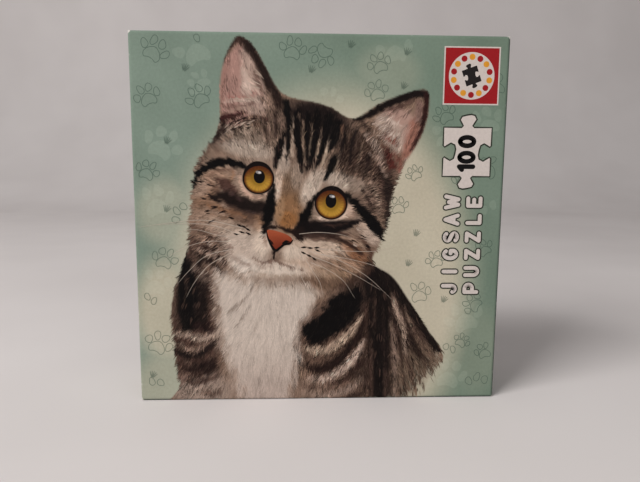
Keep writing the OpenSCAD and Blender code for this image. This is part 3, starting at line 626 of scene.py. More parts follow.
class Ink:
    """Flat shapes of print, laid one over another, each a little prouder than the one before."""

    def __init__(self, place, lift):
        self.place = place
        self.lift = lift
        self.verts, self.faces, self.colours, self.flat = [], [], [], []
        self.count = 0

    def add(self, uv, faces, colour):
        uv = np.asarray(uv, float)
        self.lift += INK_STEP
        tint = colour(uv[:, 0], uv[:, 1]) if callable(colour) else np.asarray(colour, float)
        self.verts.append(self.place(uv[:, 0], uv[:, 1], self.lift))
        self.faces += [tuple(i + self.count for i in f) for f in faces]
        self.colours.append(to_linear(np.broadcast_to(tint, (len(uv), 3))) * PRINT_GAIN)
        self.flat.append(uv)
        self.count += len(uv)

    def shape(self, outline, colour):
        self.add(outline, [range(len(outline))], colour)

    def disc(self, middle, radii, colour, turn=0, sides=24):
        a = np.linspace(0, 2 * math.pi, sides, endpoint=False)
        du, dv = turned(radii[0] * np.cos(a), radii[1] * np.sin(a), turn)
        self.shape(np.c_[middle[0] + du, middle[1] + dv], colour)

    def ribbon(self, path, widths, colour, closed=False, caps=True):
        """A stroke with its widths spread evenly along it, and round ends if it has caps."""
        path = np.asarray(path, float)
        count = len(path)
        if closed:
            ahead = unit(np.roll(path, -1, 0) - np.roll(path, 1, 0))
        else:
            ahead = unit(np.gradient(path, axis=0))
        side = np.c_[-ahead[:, 1], ahead[:, 0]]
        stops = np.linspace(0, 1, len(widths))
        half = np.interp(np.linspace(0, 1, count), stops, widths)[:, None] / 2
        left, right = path + side * half, path - side * half
        if closed:
            faces = [(i, (i + 1) % count, count + (i + 1) % count, count + i) for i in range(count)]
            self.add(np.vstack([left, right]), faces, colour)
        elif caps:
            bend = np.linspace(0, math.pi, CAP_POINTS + 2)[1:-1, None]
            tip = path[-1] + half[-1] * (side[-1] * np.cos(bend) + ahead[-1] * np.sin(bend))
            tail = path[0] - half[0] * (side[0] * np.cos(bend) + ahead[0] * np.sin(bend))
            faces = [(i, i + 1, count + i + 1, count + i) for i in range(count - 1)]
            first, second = 2 * count, 2 * count + CAP_POINTS
            faces.append((count - 1, *range(first, second), 2 * count - 1))
            faces.append((count, *range(second, second + CAP_POINTS), 0))
            self.add(np.vstack([left, right, tip, tail]), faces, colour)
        else:
            self.shape(np.vstack([left, right[::-1]]), colour)

    def build(self, name):
        flat = np.vstack(self.flat)
        low, high = flat.min(0), flat.max(0)
        uvs = (flat - low) / max(high - low) * 0.98 + 0.01
        return make_mesh(name, np.vstack(self.verts), self.faces, np.vstack(self.colours), uvs)


# ---------------------------------------------------------------- materials
def new_material(name):
    material = bpy.data.materials.new(name)
    material.use_nodes = True
    tree = material.node_tree
    shader = tree.nodes["Principled BSDF"]
    return material, tree, shader


def node(tree, kind, inputs=None, **settings):
    made = tree.nodes.new(kind)
    for key, value in settings.items():
        setattr(made, key, value)
    for key, value in (inputs or {}).items():
        made.inputs[key].default_value = value
    return made


def noise(tree, scale, detail=3.0, roughness=0.55, stretch=None):
    """Noise by place on the object, in features a metre."""
    where = node(tree, "ShaderNodeTexCoord").outputs["Object"]
    if stretch:
        mapping = node(tree, "ShaderNodeMapping", {"Scale": stretch})
        tree.links.new(where, mapping.inputs["Vector"])
        where = mapping.outputs["Vector"]
    settings = {"Scale": scale, "Detail": detail, "Roughness": roughness}
    made = node(tree, "ShaderNodeTexNoise", settings)
    tree.links.new(where, made.inputs["Vector"])
    return made.outputs["Fac"]


def spread(tree, value, low, high, from_low=0.0, from_high=1.0):
    made = node(tree, "ShaderNodeMapRange",
                {"From Min": from_low, "From Max": from_high, "To Min": low, "To Max": high})
    tree.links.new(value, made.inputs["Value"])
    return made.outputs["Result"]


def mix(tree, share, a, b, blend="MIX"):
    made = node(tree, "ShaderNodeMix", data_type="RGBA", blend_type=blend)
    for socket, value in ((0, share), (6, a), (7, b)):
        if isinstance(value, bpy.types.NodeSocket):
            tree.links.new(value, made.inputs[socket])
        else:
            made.inputs[socket].default_value = value
    return made.outputs[2]


def bump(tree, shader, height, strength, distance):
    made = node(tree, "ShaderNodeBump", {"Strength": strength, "Distance": distance})
    tree.links.new(height, made.inputs["Height"])
    tree.links.new(made.outputs["Normal"], shader.inputs["Normal"])


RUBBED_CARD = (0.62, 0.6, 0.55, 1)


def print_material(name, roughness, specular, worn=True):
    """Ink on varnished paper: mottled ink, faint fibre, and pale card where the edges are rubbed."""
    material, tree, shader = new_material(name)
    ink = node(tree, "ShaderNodeAttribute", attribute_name="ink").outputs["Color"]
    mottle = spread(tree, noise(tree, 900, 2), 0.95, 1.05, 0.3, 0.7)
    colour = mix(tree, 1.0, ink, mottle, "MULTIPLY")
    if worn:
        rub = node(tree, "ShaderNodeAttribute", attribute_name="rub").outputs["Fac"]
        patchy = spread(tree, noise(tree, 420, 5, 0.7), -0.55, 0.55, 0.25, 0.75)
        add = node(tree, "ShaderNodeMath", operation="ADD")
        tree.links.new(rub, add.inputs[0])
        tree.links.new(patchy, add.inputs[1])
        share = spread(tree, add.outputs[0], 0.0, 1.0, 0.5, 0.72)
        colour = mix(tree, share, colour, RUBBED_CARD)
    tree.links.new(colour, shader.inputs["Base Color"])
    dullness = spread(tree, noise(tree, 160, 3), roughness - 0.06, roughness + 0.06, 0.3, 0.7)
    tree.links.new(dullness, shader.inputs["Roughness"])
    shader.inputs["Specular IOR Level"].default_value = specular
    bump(tree, shader, noise(tree, 2600, 2), 0.06, 0.00005)
    return material


lid_print = print_material("lid_print", 0.5, 0.1)
flat_print = print_material("flat_print", 0.5, 0.1, worn=False)


# ---------------------------------------------------------------- the lid's printed wrap
def skin_profile(d):
    """The sheet's section as [offset, depth]: rounded edge, wall, rim and turn-in, then back inside
    the paper's thickness to the face. Offsets are outward from the tray's sides."""
    rim_r = WALL_T / 2
    inner_r = rim_r - PAPER_T
    inside_wall = PAPER_T - WALL_T

    def over_rim(radius, angles):
        return [(-rim_r + radius * math.cos(a), d - rim_r + radius * math.sin(a)) for a in angles]

    outer = [(-EDGE_R + EDGE_R * math.sin(a), EDGE_R * (1 - math.cos(a)))
             for a in np.linspace(0, math.pi / 2, 5)[1:]]
    outer += [(0, depth) for depth in np.linspace(EDGE_R, d - rim_r, 9)[1:]]
    outer += over_rim(rim_r, np.linspace(0, math.pi, 7)[1:])
    outer += [(-WALL_T, depth) for depth in np.linspace(d - rim_r, d - TURN_IN, 4)[1:]]
    inner = [(inside_wall, d - TURN_IN), (inside_wall, d - rim_r)]
    inner += over_rim(inner_r, np.linspace(math.pi, 0, 5)[1:])
    inner += [(-PAPER_T, EDGE_R), (-PAPER_T - EDGE_R / 2, PAPER_T + 0.2), (-EDGE_R * 2, PAPER_T)]
    return outer + inner


# Slices in the fan at each corner, and the corner's radius at the face and along the walls
FAN = 4
FOLD_R, CORNER_R = 0.06, 0.56
# The face's four sides in turn: which way each runs, and which way is out of it
SIDE_WAYS = np.array([[1, 0], [0, 1], [-1, 0], [0, -1]], float)
SIDE_OUT = np.array([[0, -1], [1, 0], [0, 1], [-1, 0]], float)


def tray_skin(name, w, h, d, grid, place, paint):
    """The paper round a tray as one closed sheet. Depths run from the tray's face to its rim."""
    line = np.linspace(-1, 1, grid + 1)
    a, b = np.meshgrid(line * (w / 2 - EDGE_R), line * (h / 2 - EDGE_R))
    points = [np.c_[a.ravel(), b.ravel(), np.zeros(a.size)]]
    index = np.arange(a.size).reshape(a.shape)
    faces = [(index[j, i], index[j, i + 1], index[j + 1, i + 1], index[j + 1, i])
             for j in range(grid) for i in range(grid)]
    # the face's border, anticlockwise, with each corner repeated for the corner's fan
    border, sides, steps, turns = [], [], [], []
    for side, run in enumerate([index[0, :], index[:, -1], index[-1, ::-1], index[::-1, 0]]):
        border += list(run) + [run[-1]] * (FAN - 1)
        sides += [side] * (grid + FAN)
        steps += list(line) + [1.0] * (FAN - 1)
        turns += [0.0] * (grid + 1) + [(k + 1) / FAN for k in range(FAN - 1)]
    last = np.array(border)
    total = a.size
    sides, steps = np.array(sides), np.array(steps)
    turns = np.array(turns)[:, None] * math.pi / 2
    ways, outs = SIDE_WAYS[sides], SIDE_OUT[sides]
    lean = outs * np.cos(turns) + ways * np.sin(turns)
    for offset, depth in skin_profile(d):
        radius = FOLD_R + (CORNER_R - FOLD_R) * float(ramp(0.2, 2.0, depth))
        reach = np.array([w / 2 + offset, h / 2 + offset]) - radius
        lengths = np.where(sides % 2 == 0, reach[0], reach[1])
        stands = np.where(sides % 2 == 0, reach[1], reach[0])
        ring = ways * (steps * lengths)[:, None] + outs * stands[:, None] + lean * radius
        points.append(np.c_[ring, np.full(len(ring), depth)])
        now = np.arange(total, total + len(ring))
        for p, q, r, s in zip(last, np.roll(last, -1), np.roll(now, -1), now):
            faces.append((p, s, r) if p == q else (p, s, r, q))
        last = now
        total += len(ring)
    faces.append(tuple(last))
    points = np.vstack(points)
    colours = to_linear(paint(points[:, :2], points[:, 2])) * PRINT_GAIN
    thing = make_mesh(name, place(points), [f[::-1] for f in faces], colours, smooth=True)
    layer = thing.data.attributes.new("rub", "FLOAT", "POINT")
    layer.data.foreach_set("value", rub_at(points, w, h, d).astype(np.float32))
    return thing


def rub_at(points, w, h, d):
    """Wear: strong at the outer corners, light along the edges of the face and the rim."""
    gap_u, gap_v = w / 2 - np.abs(points[:, 0]), h / 2 - np.abs(points[:, 1])
    depth = points[:, 2]
    face_edge = np.hypot(np.clip(np.minimum(gap_u, gap_v), None, 6), np.clip(depth, None, 6))
    corner = np.sqrt(gap_u ** 2 + gap_v ** 2 + depth ** 2)
    rim_corner = np.sqrt(gap_u ** 2 + gap_v ** 2 + (d - depth) ** 2)
    along_edges = 0.22 * (1 - ramp(0.3, 1.2, face_edge))
    at_corners = 0.6 * (1 - ramp(0.4, 2.2, corner)) + 0.4 * (1 - ramp(0.4, 2.0, rim_corner))
    return along_edges + at_corners


def place_lid(points):
    return np.c_[points[:, 0], FACE_Y + points[:, 2], MID_V + points[:, 1]] * MM


def place_base(points):
    return np.c_[-points[:, 0], base_high[1] - points[:, 2], MID_V + points[:, 1]] * MM


# Nearer the front than this is the flat face
FACE_DEPTH = 0.02


def lid_paint(flat, depth):
    colour = picture(flat[:, 0], flat[:, 1] + MID_V)
    side = depth > FACE_DEPTH
    colour[side] = backdrop(flat[side, 0], flat[side, 1] + MID_V)
    # painted shade on the folds at the right and along the floor: the right fold turns away from the light,
    # and the floor fold sits in the contact shadow
    right = ramp(-1.2, -0.3, flat[:, 0] - BOX_W / 2) * 0.5
    floor_edge = ramp(-1.0, -0.2, -flat[:, 1] - BOX_H / 2) * 0.75
    edge_shade = np.maximum(right, floor_edge) * (1 - ramp(0.8, 1.8, depth))
    return over(colour, EDGE_SHADE, edge_shade)


def base_paint(flat, depth):
    u, v = flat[:, 0], flat[:, 1]
    glow = soft_spot(u, v, (0, 0), (66, 66)) * 0.5 * (depth < FACE_DEPTH)
    haze = ripple(u, v + depth, 34, 5) * 2.5
    return over(np.broadcast_to(GREEN_RIGHT, u.shape + (3,)), CREAM, glow) + haze[:, None]


LID_GRID, BASE_GRID = 250, 60
lid_skin = tray_skin("lid_wrap_paper", BOX_W, BOX_H, LID_D, LID_GRID, place_lid, lid_paint)
finish_piece(lid_skin, "lid", "lid_paper", lid_print, "lid_wrap")
base_w, base_d, base_h = base_high - base_low
base_skin = tray_skin("base_wrap_paper", base_w, base_h, base_d, BASE_GRID, place_base, base_paint)
finish_piece(base_skin, "base", "base_paper", lid_print, "base_wrap")

# ---------------------------------------------------------------- hairs
# How the coat lies: [place, direction in degrees, hair length]
COMBS = [
    (-14, 84, 95, 1.4), (-14, 100, 95, 2.4), (-12, 116, 95, 3.2), (-3, 116, 84, 3.2), (6, 115, 72, 3.0),
    (-22, 110, 105, 2.6), (-30, 110, 115, 2.6), (-40, 108, 135, 2.6), (-48, 98, 160, 2.4),
    (-50, 88, 185, 2.4), (-38, 90, 200, 1.8), (-45, 80, 195, 3.0), (-50, 72, 215, 3.4),
    (-40, 70, 205, 3.4), (-32, 66, 215, 2.6), (-25, 60, 245, 2.4), (-18, 58, 270, 2.2),
    (-30, 82, 200, 1.6), (-8, 60, 290, 2.6), (0, 62, 315, 2.8), (10, 62, 325, 3.2), (18, 64, 325, 3.4),
    (2, 70, 350, 2.0), (8, 76, 355, 1.8), (20, 75, 340, 3.0), (22, 85, 10, 2.4), (15, 92, 40, 2.4),
    (8, 98, 62, 2.4), (20, 100, 48, 2.6), (27, 92, 5, 2.6), (-36, 117, 120, 3.0), (-28, 118, 105, 3.0),
    (-28, 133, 140, 4.5), (-36, 136, 95, 3.5), (-32, 147, 95, 3.0), (-22, 136, 118, 2.6),
    (-19, 126, 105, 3.0), (30, 116, 58, 4.5), (37, 122, 55, 4.0), (38, 110, 75, 3.0), (23, 108, 60, 4.0),
    (42, 126, 80, 2.0), (32, 130, 25, 2.4), (20, 122, 35, 2.4), (-46, 57, 235, 5.0), (-38, 50, 240, 6.0),
    (-30, 45, 250, 6.5), (-20, 40, 268, 6.5), (-10, 42, 278, 6.0), (0, 50, 290, 4.0), (3, 44, 232, 3.2),
    (-2, 34, 236, 4.0), (6, 30, 240, 3.6), (14, 40, 245, 3.4), (20, 50, 262, 3.6), (25, 38, 265, 3.6),
    (33, 40, 282, 4.2), (42, 34, 300, 4.2), (48, 24, 300, 4.0), (38, 15, 288, 4.4), (28, 8, 275, 4.0),
    (8, 14, 238, 4.0), (2, 5, 255, 4.0), (-14, 12, 272, 6.0), (-30, 14, 265, 6.0), (-40, 30, 235, 5.0),
    (-47, 42, 235, 4.0), (-58, 45, 250, 3.4), (-56, 30, 235, 4.0), (-52, 15, 240, 4.0),
    (-57, 60, 235, 3.4),
]


def comb(u, v):
    """Direction and length of the hairs at each place, blended from the nearest combs."""
    combs = np.array(COMBS, float)
    away = (u[:, None] - combs[:, 0]) ** 2 + (v[:, None] - combs[:, 1]) ** 2
    weight = 1 / (away + 4) ** 2
    weight /= weight.sum(1, keepdims=True)
    angle = np.radians(combs[:, 2])
    du, dv = weight @ np.cos(angle), weight @ np.sin(angle)
    size = np.maximum(np.hypot(du, dv), 1e-6)
    return du / size, dv / size, weight @ combs[:, 3]


HAIR_STEPS = 3
HAIR_TAPER = np.array([0.5, 1.0, 0.75, 0.0])
HAIR_UV_SPAN = 160
TUFT_HAIRS = 9
UNDERCOAT_TUFTS, TOPCOAT_TUFTS = 4200, 4300
# Short even coat on the muzzle and chin, [middle, radii, turn]
SMOOTH_COAT = [
    ((-30, 66), (12, 8), -20), ((-6, 66), (13, 6), -10), ((-18, 58), (15, 5), 0), ((-15, 66), (6, 6), 0),
]
NOSE_MIDDLE, NOSE_RADII = (-17, 70.6), (5.6, 5.2)
# Heights above which the hairs are shorter near the outline, and shorter again
SHORT_ABOVE, SHORTER_ABOVE = 112, 118


def clear_of_eyes(u, v, margin):
    """True where places are further than a margin from both eyes."""
    clear = np.ones(u.shape, bool)
    for middle_u, middle_v in (LEFT_EYE, RIGHT_EYE):
        clear &= np.hypot(u - middle_u, v - middle_v) > IRIS_R + margin
    return clear


def hair_roots(count):
    """Random places on the coat, thinner in the ears and none over the eyes and nose."""
    u = rng.uniform(-64, 56, count * 2)
    v = rng.uniform(0.5, 153.5, count * 2)
    keep = depth_in(u, v, CAT_OUTLINE) > -0.1
    keep &= rng.uniform(0, 1, len(u)) < fade_out(u, v)
    keep &= clear_of_eyes(u, v, 1.1)
    keep &= np.hypot((u - NOSE_MIDDLE[0]) / NOSE_RADII[0], (v - NOSE_MIDDLE[1]) / NOSE_RADII[1]) > 1
    left_ear = soft_spot(u, v, (-34, 136), (8, 17), 5)
    right_ear = soft_spot(u, v, (33, 115), (11, 9), 45)
    keep &= rng.uniform(0, 1, len(u)) > np.maximum(left_ear, right_ear) * 0.75
    return u[keep][:count], v[keep][:count]


def hair_tints(u, v, tuft_tone):
    """The coat's colour under each hair, lighter or darker with its tuft and a little by itself. In
    flecked places some hairs are much paler or much darker."""
    n = len(u)
    start = cat_colour(u, v)
    light = start.mean(1)
    fleck = fleck_strength(u, v)
    chance = rng.uniform(0, 1, n)
    smooth = ramp(0, 3, depth_in(u, v, CHEST)) * 0.6
    for middle, radii, turn in SMOOTH_COAT:
        smooth = np.maximum(smooth, soft_spot(u, v, middle, radii, turn) * 0.6)
    tone = tuft_tone * (0.16 + 0.24 * fleck) + rng.normal(0, 1, n) * (0.08 + 0.15 * fleck)
    tone = tone * (1 - smooth) - 0.05 * fleck
    tone = np.where(tone > 0, tone * 0.5, tone * 1.15)
    tint = start * np.exp(tone)[:, None] + tone[:, None] * rgb(-3, 0, 2)
    pale = (chance < 0.16 * fleck) & (light < 110)
    brightness = rng.uniform(0.4, 0.7, pale.sum()) * (0.3 + 0.7 * ramp(8, 60, light[pale]))
    tint[pale] = tint[pale] * 0.35 + PALE_HAIR * brightness[:, None]
    tint[(chance > 1 - 0.14 * fleck) & (light > 50)] *= 0.4
    return np.clip(tint, 4, 212)


def hair_paths(u, v, lengths, turns, curls):
    """The places along each hair, from its root, following the combs."""
    paths = [np.c_[u, v]]
    for step in range(HAIR_STEPS):
        du, dv, length = comb(u, v)
        turn = turns + curls * step
        c, s = np.cos(turn), np.sin(turn)
        run = length * lengths / HAIR_STEPS
        u = u + (du * c - dv * s) * run
        v = v + (du * s + dv * c) * run
        paths.append(np.c_[u, v])
    paths = np.stack(paths, 1)
    paths[..., 1] = np.clip(paths[..., 1], 0.3, None)
    return paths


def draw_hairs(name, tufts, widths, lift):
    """Tufts of fine tapered hairs in the coat's own colours. A tuft's hairs lie much the same way
    and are lighter or darker together."""
    tuft_u, tuft_v = hair_roots(tufts)
    tuft = np.repeat(np.arange(len(tuft_u)), TUFT_HAIRS)
    du, dv, length = comb(tuft_u, tuft_v)
    along = rng.normal(0, 0.3, len(tuft)) * length[tuft]
    across = rng.normal(0, 0.42, len(tuft))
    u = tuft_u[tuft] + du[tuft] * along - dv[tuft] * across
    v = tuft_v[tuft] + dv[tuft] * along + du[tuft] * across
    depth = depth_in(u, v, CAT_OUTLINE)
    keep = (depth > -0.1) & (v > 0.4) & clear_of_eyes(u, v, 0.9)
    u, v, depth, tuft = u[keep], v[keep], depth[keep], tuft[keep]
    n = len(u)
    tuft_tone = rng.normal(0, 1, tufts)[tuft]
    tuft_turn = rng.normal(0, 0.16, tufts)[tuft]
    tuft_curl = rng.normal(0, 0.12, tufts)[tuft]
    tint = hair_tints(u, v, tuft_tone)
    turns = tuft_turn + rng.normal(0, 0.08, n)
    curls = tuft_curl + rng.normal(0, 0.06, n)
    # on the ears and crown the hairs get shorter towards the cat's outline
    short = np.where(v > SHORT_ABOVE, 0.3 + 0.7 * ramp(0, 3, depth), 0.75)
    lengths = rng.uniform(0.55, 1.2, n) * np.where(v > SHORTER_ABOVE, short * 0.7, short)
    width = rng.uniform(*widths, n)
    paths = hair_paths(u, v, lengths, turns, curls)
    ahead = unit(np.gradient(paths, axis=1))
    side = np.stack([-ahead[..., 1], ahead[..., 0]], -1)
    half = side * (width[:, None] / 2 * HAIR_TAPER)[..., None]
    # two points at each step but the last, where the hair ends in one
    uv = np.concatenate([paths + half, paths[:, :-1] - half[:, :-1]], 1)
    points = uv.shape[1]
    flat = uv.reshape(-1, 2)
    lifts = np.repeat(lift + rng.uniform(0, 0.02, n), points)
    k = HAIR_STEPS + 1
    base = (np.arange(n) * points)[:, None]
    quads = np.array([(i, i + 1, k + i + 1, k + i) for i in range(HAIR_STEPS - 1)])
    quads = (base[:, None, :] + quads).reshape(-1, 4)
    tips = base + [HAIR_STEPS - 1, HAIR_STEPS, k + HAIR_STEPS - 1]
    colours = to_linear(np.repeat(tint, points, axis=0)) * PRINT_GAIN
    uvs = flat / HAIR_UV_SPAN + [0.5, 0.01]
    verts = wrap_round(flat[:, 0], flat[:, 1], lifts)
    return make_mesh(name, verts, quads.tolist() + tips.tolist(), colours, uvs)


undercoat = draw_hairs("lid_print_undercoat", UNDERCOAT_TUFTS, (0.20, 0.38), UNDERCOAT_LIFT)
finish_piece(undercoat, "lid", "lid_paper", flat_print)
topcoat = draw_hairs("lid_print_topcoat", TOPCOAT_TUFTS, (0.09, 0.20), TOPCOAT_LIFT)
finish_piece(topcoat, "lid", "lid_paper", flat_print)

# ---------------------------------------------------------------- eyes, nose and whiskers
features = Ink(wrap_round, FEATURES_LIFT)

# Single hairs that stand out, [tint, width, (middle u, middle v, direction in degrees, length)...]
STREAKS = [
    (rgb(34, 23, 20), 0.46, [
        (-40, 118, 40, 3), (-37, 119, 35, 3), (-34, 120, 30, 3), (-31, 120.8, 20, 3), (-28, 121, 5, 3),
        (-42, 114.6, 42, 3), (-39, 115.8, 38, 3), (-36, 116.8, 33, 3), (-33, 117.4, 28, 3),
        (-30, 117.8, 18, 2.6), (-18.6, 104, 95, 4), (-16.8, 109, 100, 4), (-8.6, 101.4, 88, 4),
        (-6.2, 101.6, 92, 3.6), (-4.4, 102.6, 84, 3.6), (-2.2, 103.8, 76, 3.6), (0.4, 105, 72, 3.2),
        (8, 103, 62, 3), (10.4, 106, 60, 3.4), (12.4, 103.6, 55, 3), (14.8, 106.4, 52, 3.4),
        (16.8, 102.6, 48, 3), (18.8, 105.4, 45, 3), (20.4, 100, 42, 3), (22.4, 96, 35, 3),
        (22, 91.6, 25, 3), (-44, 84, 195, 3), (-47, 82, 190, 2.6), (-41, 82.4, 198, 3.4),
        (-45, 78.8, 200, 3), (-49, 88, 185, 2.4), (-50, 95, 165, 2.4), (-46, 93.4, 160, 2.4),
        (-48, 70, 215, 3.6), (-45, 67.4, 218, 3.8), (-49, 65.4, 220, 3.6), (-43, 64, 222, 3.6),
        (-46.4, 61.8, 224, 3.4), (-41, 61, 225, 3.2), (18, 72, 335, 3.4), (14, 69.8, 335, 3.6),
        (20, 67.6, 330, 3), (-4, 26.2, 250, 3), (-0.6, 25.2, 250, 3), (3, 26.2, 245, 3),
        (7, 28.4, 240, 3), (11, 31, 238, 3), (15, 35, 235, 3), (36, 30, 285, 4), (39, 26, 290, 4),
        (33, 18, 280, 4), (41, 18, 292, 4),
    ]),
    (rgb(164, 145, 131), 0.34, [
        (-38.4, 117.2, 38, 3), (-35, 118.4, 32, 3), (-32, 119.2, 25, 3), (-29, 119.4, 10, 3),
        (-19, 97, 92, 3.2), (-2.6, 96.4, 65, 4), (1.4, 98, 60, 3), (-46.6, 69, 216, 3.2),
        (-44, 65.8, 220, 3.4), (-47.6, 63.6, 222, 3), (-42, 62.4, 224, 3), (16, 75, 338, 3),
        (15, 68.4, 333, 2.8), (-44.6, 54, 215, 3.6), (-46, 50, 218, 3.6), (-45.6, 46, 222, 3.6),
        (-45.4, 41, 228, 3.6), (-44, 36, 232, 3.6), (-43, 31, 236, 3.6), (-42, 26, 240, 3.6),
        (-40.6, 20, 244, 3.6), (-50, 57, 222, 3.6), (24.6, 119.6, 20, 5), (26, 116, 15, 5),
        (25.4, 122.6, 22, 5), (-27, 134, 150, 5), (-26, 139, 140, 5), (-29, 129, 165, 5),
        (-34, 128.4, 175, 4.4),
    ]),
    (rgb(58, 43, 37), 0.42, [
        (-52, 56, 230, 4), (-54, 49, 245, 4), (-52, 43, 240, 4), (-50, 38, 238, 4), (-55, 36, 245, 3.6),
        (-57, 53, 238, 3.6), (-58, 42, 246, 3.6), (22, 50, 262, 4), (24, 44, 265, 4), (28, 46, 285, 4),
        (30, 40, 280, 4), (33, 47, 290, 4), (37, 41, 294, 4), (41, 35.4, 297, 4), (45, 29.4, 300, 4),
        (24, 20, 268, 4), (27, 12, 268, 4), (22, 34, 262, 4), (26, 28, 268, 4), (12, 51, 300, 3),
        (16, 53, 300, 3),
    ]),
]
streak_rng = np.random.default_rng(23)
HAIRS_A_STREAK = 3


def draw_streak(u, v, degrees, length, width, tint):
    """One hair, near enough at its place, a little bowed and pointed at both ends."""
    way = math.radians(degrees + streak_rng.normal(0, 6))
    ahead = np.array([math.cos(way), math.sin(way)])
    aside = np.array([-ahead[1], ahead[0]])
    middle = np.array([u, v]) + aside * streak_rng.normal(0, 0.5) + ahead * streak_rng.normal(0, 0.5)
    reach = ahead * length / 2 * streak_rng.uniform(0.7, 1.1)
    bow = aside * streak_rng.normal(0, 0.12) * length / 2
    shade = tint * streak_rng.uniform(0.85, 1.1)
    line = [middle - reach, middle - reach * 0.3 + bow, middle + reach * 0.4 + bow, middle + reach]
    features.ribbon(line, (0.12, width, width * 0.7, 0.06), shade, caps=False)


for tint, width, places in STREAKS:
    for place in places:
        for _ in range(HAIRS_A_STREAK):
            draw_streak(*place, width, tint)


IRIS_LOW, IRIS_HIGH = rgb(170, 128, 48), rgb(74, 34, 14)
IRIS_MIDDLE, IRIS_RIM = rgb(118, 88, 24), rgb(60, 24, 9)
IRIS_RINGS, IRIS_SPOKES = 14, 72


def draw_eye(middle, iris_r, tilt, pupil, pupil_radii, glint):
    cu, cv = middle
    features.disc(middle, (iris_r + 0.6, iris_r + 0.5), BLACK, sides=48)
    radius = np.linspace(0, 1, IRIS_RINGS + 1)[1:]
    angle = np.linspace(0, 2 * math.pi, IRIS_SPOKES, endpoint=False)
    r, a = np.meshgrid(radius, angle, indexing="ij")
    uv = np.c_[cu + (r * iris_r * np.cos(a)).ravel(), cv + (r * iris_r * np.sin(a)).ravel()]
    uv = np.vstack([uv, middle])
    faces = []
    for ring_start in range(0, (IRIS_RINGS - 1) * IRIS_SPOKES, IRIS_SPOKES):
        for i in range(IRIS_SPOKES):
            here, ahead = ring_start + i, ring_start + (i + 1) % IRIS_SPOKES
            faces.append((here, ahead, ahead + IRIS_SPOKES, here + IRIS_SPOKES))
    faces += [(len(uv) - 1, i, (i + 1) % IRIS_SPOKES) for i in range(IRIS_SPOKES)]

    def iris(u, v):
        away = np.hypot(u - cu, v - cv) / iris_r
        turn = np.arctan2(v - cv, u - cu)
        height = (v - cv) / iris_r + 0.25 * np.abs(u - cu) / iris_r
        colour = over(IRIS_LOW, IRIS_HIGH, ramp(-0.3, 1.0, height))
        beams = 0.5 + 0.5 * np.sin(turn * 31 + 3 * np.sin(turn * 5))
        colour = colour * (0.9 + 0.16 * beams * ramp(0.3, 0.9, away))[..., None]
        colour = over(colour, IRIS_MIDDLE, (1 - ramp(0.42, 0.62, away)) * 0.55)
        return over(colour, IRIS_RIM, ramp(0.8, 1.0, away) * 0.9)

    features.add(uv, faces, iris)
    features.disc(pupil, pupil_radii, rgb(8, 5, 6), sides=32)
    # the upper lid's shade, then the soft glint and its bright middle
    lid_r = iris_r + 0.15
    lid = [(cu + lid_r * math.cos(t), cv + lid_r * math.sin(t))
           for t in np.radians(np.linspace(172, 8, 16) + tilt)]
    features.ribbon(lid, (0.4, 1.4, 2.1, 1.6, 0.5), rgb(14, 7, 6))
    features.disc(glint, (1.25, 0.62), rgb(126, 122, 122), turn=-14, sides=20)
    features.disc((glint[0] + 0.4, glint[1] - 0.05), (0.62, 0.42), rgb(184, 180, 178), sides=14)


draw_eye(LEFT_EYE, IRIS_R, 10, (-25.6, 97.2), (2.35, 2.75), (-25.9, 99.0))
draw_eye(RIGHT_EYE, RIGHT_IRIS_R, -8, (4.3, 87.3), (2.3, 2.95), (4.8, 89.2))


NOSE_LOW, NOSE_HIGH, NOSE_SHINE = rgb(96, 34, 20), rgb(148, 72, 46), rgb(162, 88, 62)
NOSE = curve([
    (-22.4, 74.9), (-20, 74.9), (-16.8, 74), (-14, 72.9), (-12, 71.2), (-12.8, 69.6), (-15, 69.2),
    (-17, 67.9), (-18.9, 66.5), (-20.3, 68), (-21.3, 70.2), (-22.3, 72.8)
], closed=True, steps=4)
# The nose's lower rim, its nostrils and the line below it, [points, widths, colour]
NOSE_LINES = [
    ([(-22.8, 74.8), (-22.2, 71.6), (-20.8, 68.4), (-19, 66.2), (-17, 67.5), (-15.2, 68.9), (-13, 69.2),
      (-11.6, 70.8)], (0.3, 0.7, 1.0, 1.2, 0.9, 1.0, 0.9, 0.3), BLACK),
    ([(-16, 69.3), (-14.6, 70.0), (-13.2, 69.9)], (0.6, 1.3, 0.5), rgb(14, 6, 5)),
    ([(-21.4, 70.9), (-20.6, 69.6), (-20, 68.9)], (0.3, 0.9, 0.4), rgb(34, 12, 9)),
    ([(-19.3, 66.2), (-19.8, 62.7)], (0.6, 0.4), rgb(26, 16, 14)),
]


def nose_colour(u, v):
    shine = 1 - ramp(0.5, 2.5, np.hypot(u + 18.6, v - 73.2))
    return over(over(NOSE_LOW, NOSE_HIGH, ramp(66.5, 74.5, v)), NOSE_SHINE, shine * 0.6)


features.shape(NOSE, nose_colour)
for points, widths, tint in NOSE_LINES:
    features.ribbon(curve(points), widths, tint)

# Short dark dashes where the whiskers start, [u, v, direction in degrees]
WHISKER_ROOTS = [
    (-34, 76.8, -25), (-32.2, 76.3, -32), (-30.6, 75.2, -30), (-33.2, 74, -15), (-30.4, 73.4, -25),
    (-35.4, 73.2, -8), (-37.4, 80, -20), (-7, 67.6, 6), (-4.4, 67.3, -4), (-1.6, 67.4, 4),
    (-1.2, 66.2, -20), (-7.2, 65.2, -25), (-4.8, 64.0, -28), (-2.6, 62.6, -35),
]
for u, v, turn in WHISKER_ROOTS:
    du, dv = turned(1.1, 0, turn)
    dash = [(u - du, v - dv), (u, v), (u + du, v + dv)]
    features.ribbon(dash, (0.25, 0.85, 0.25), rgb(20, 12, 10))

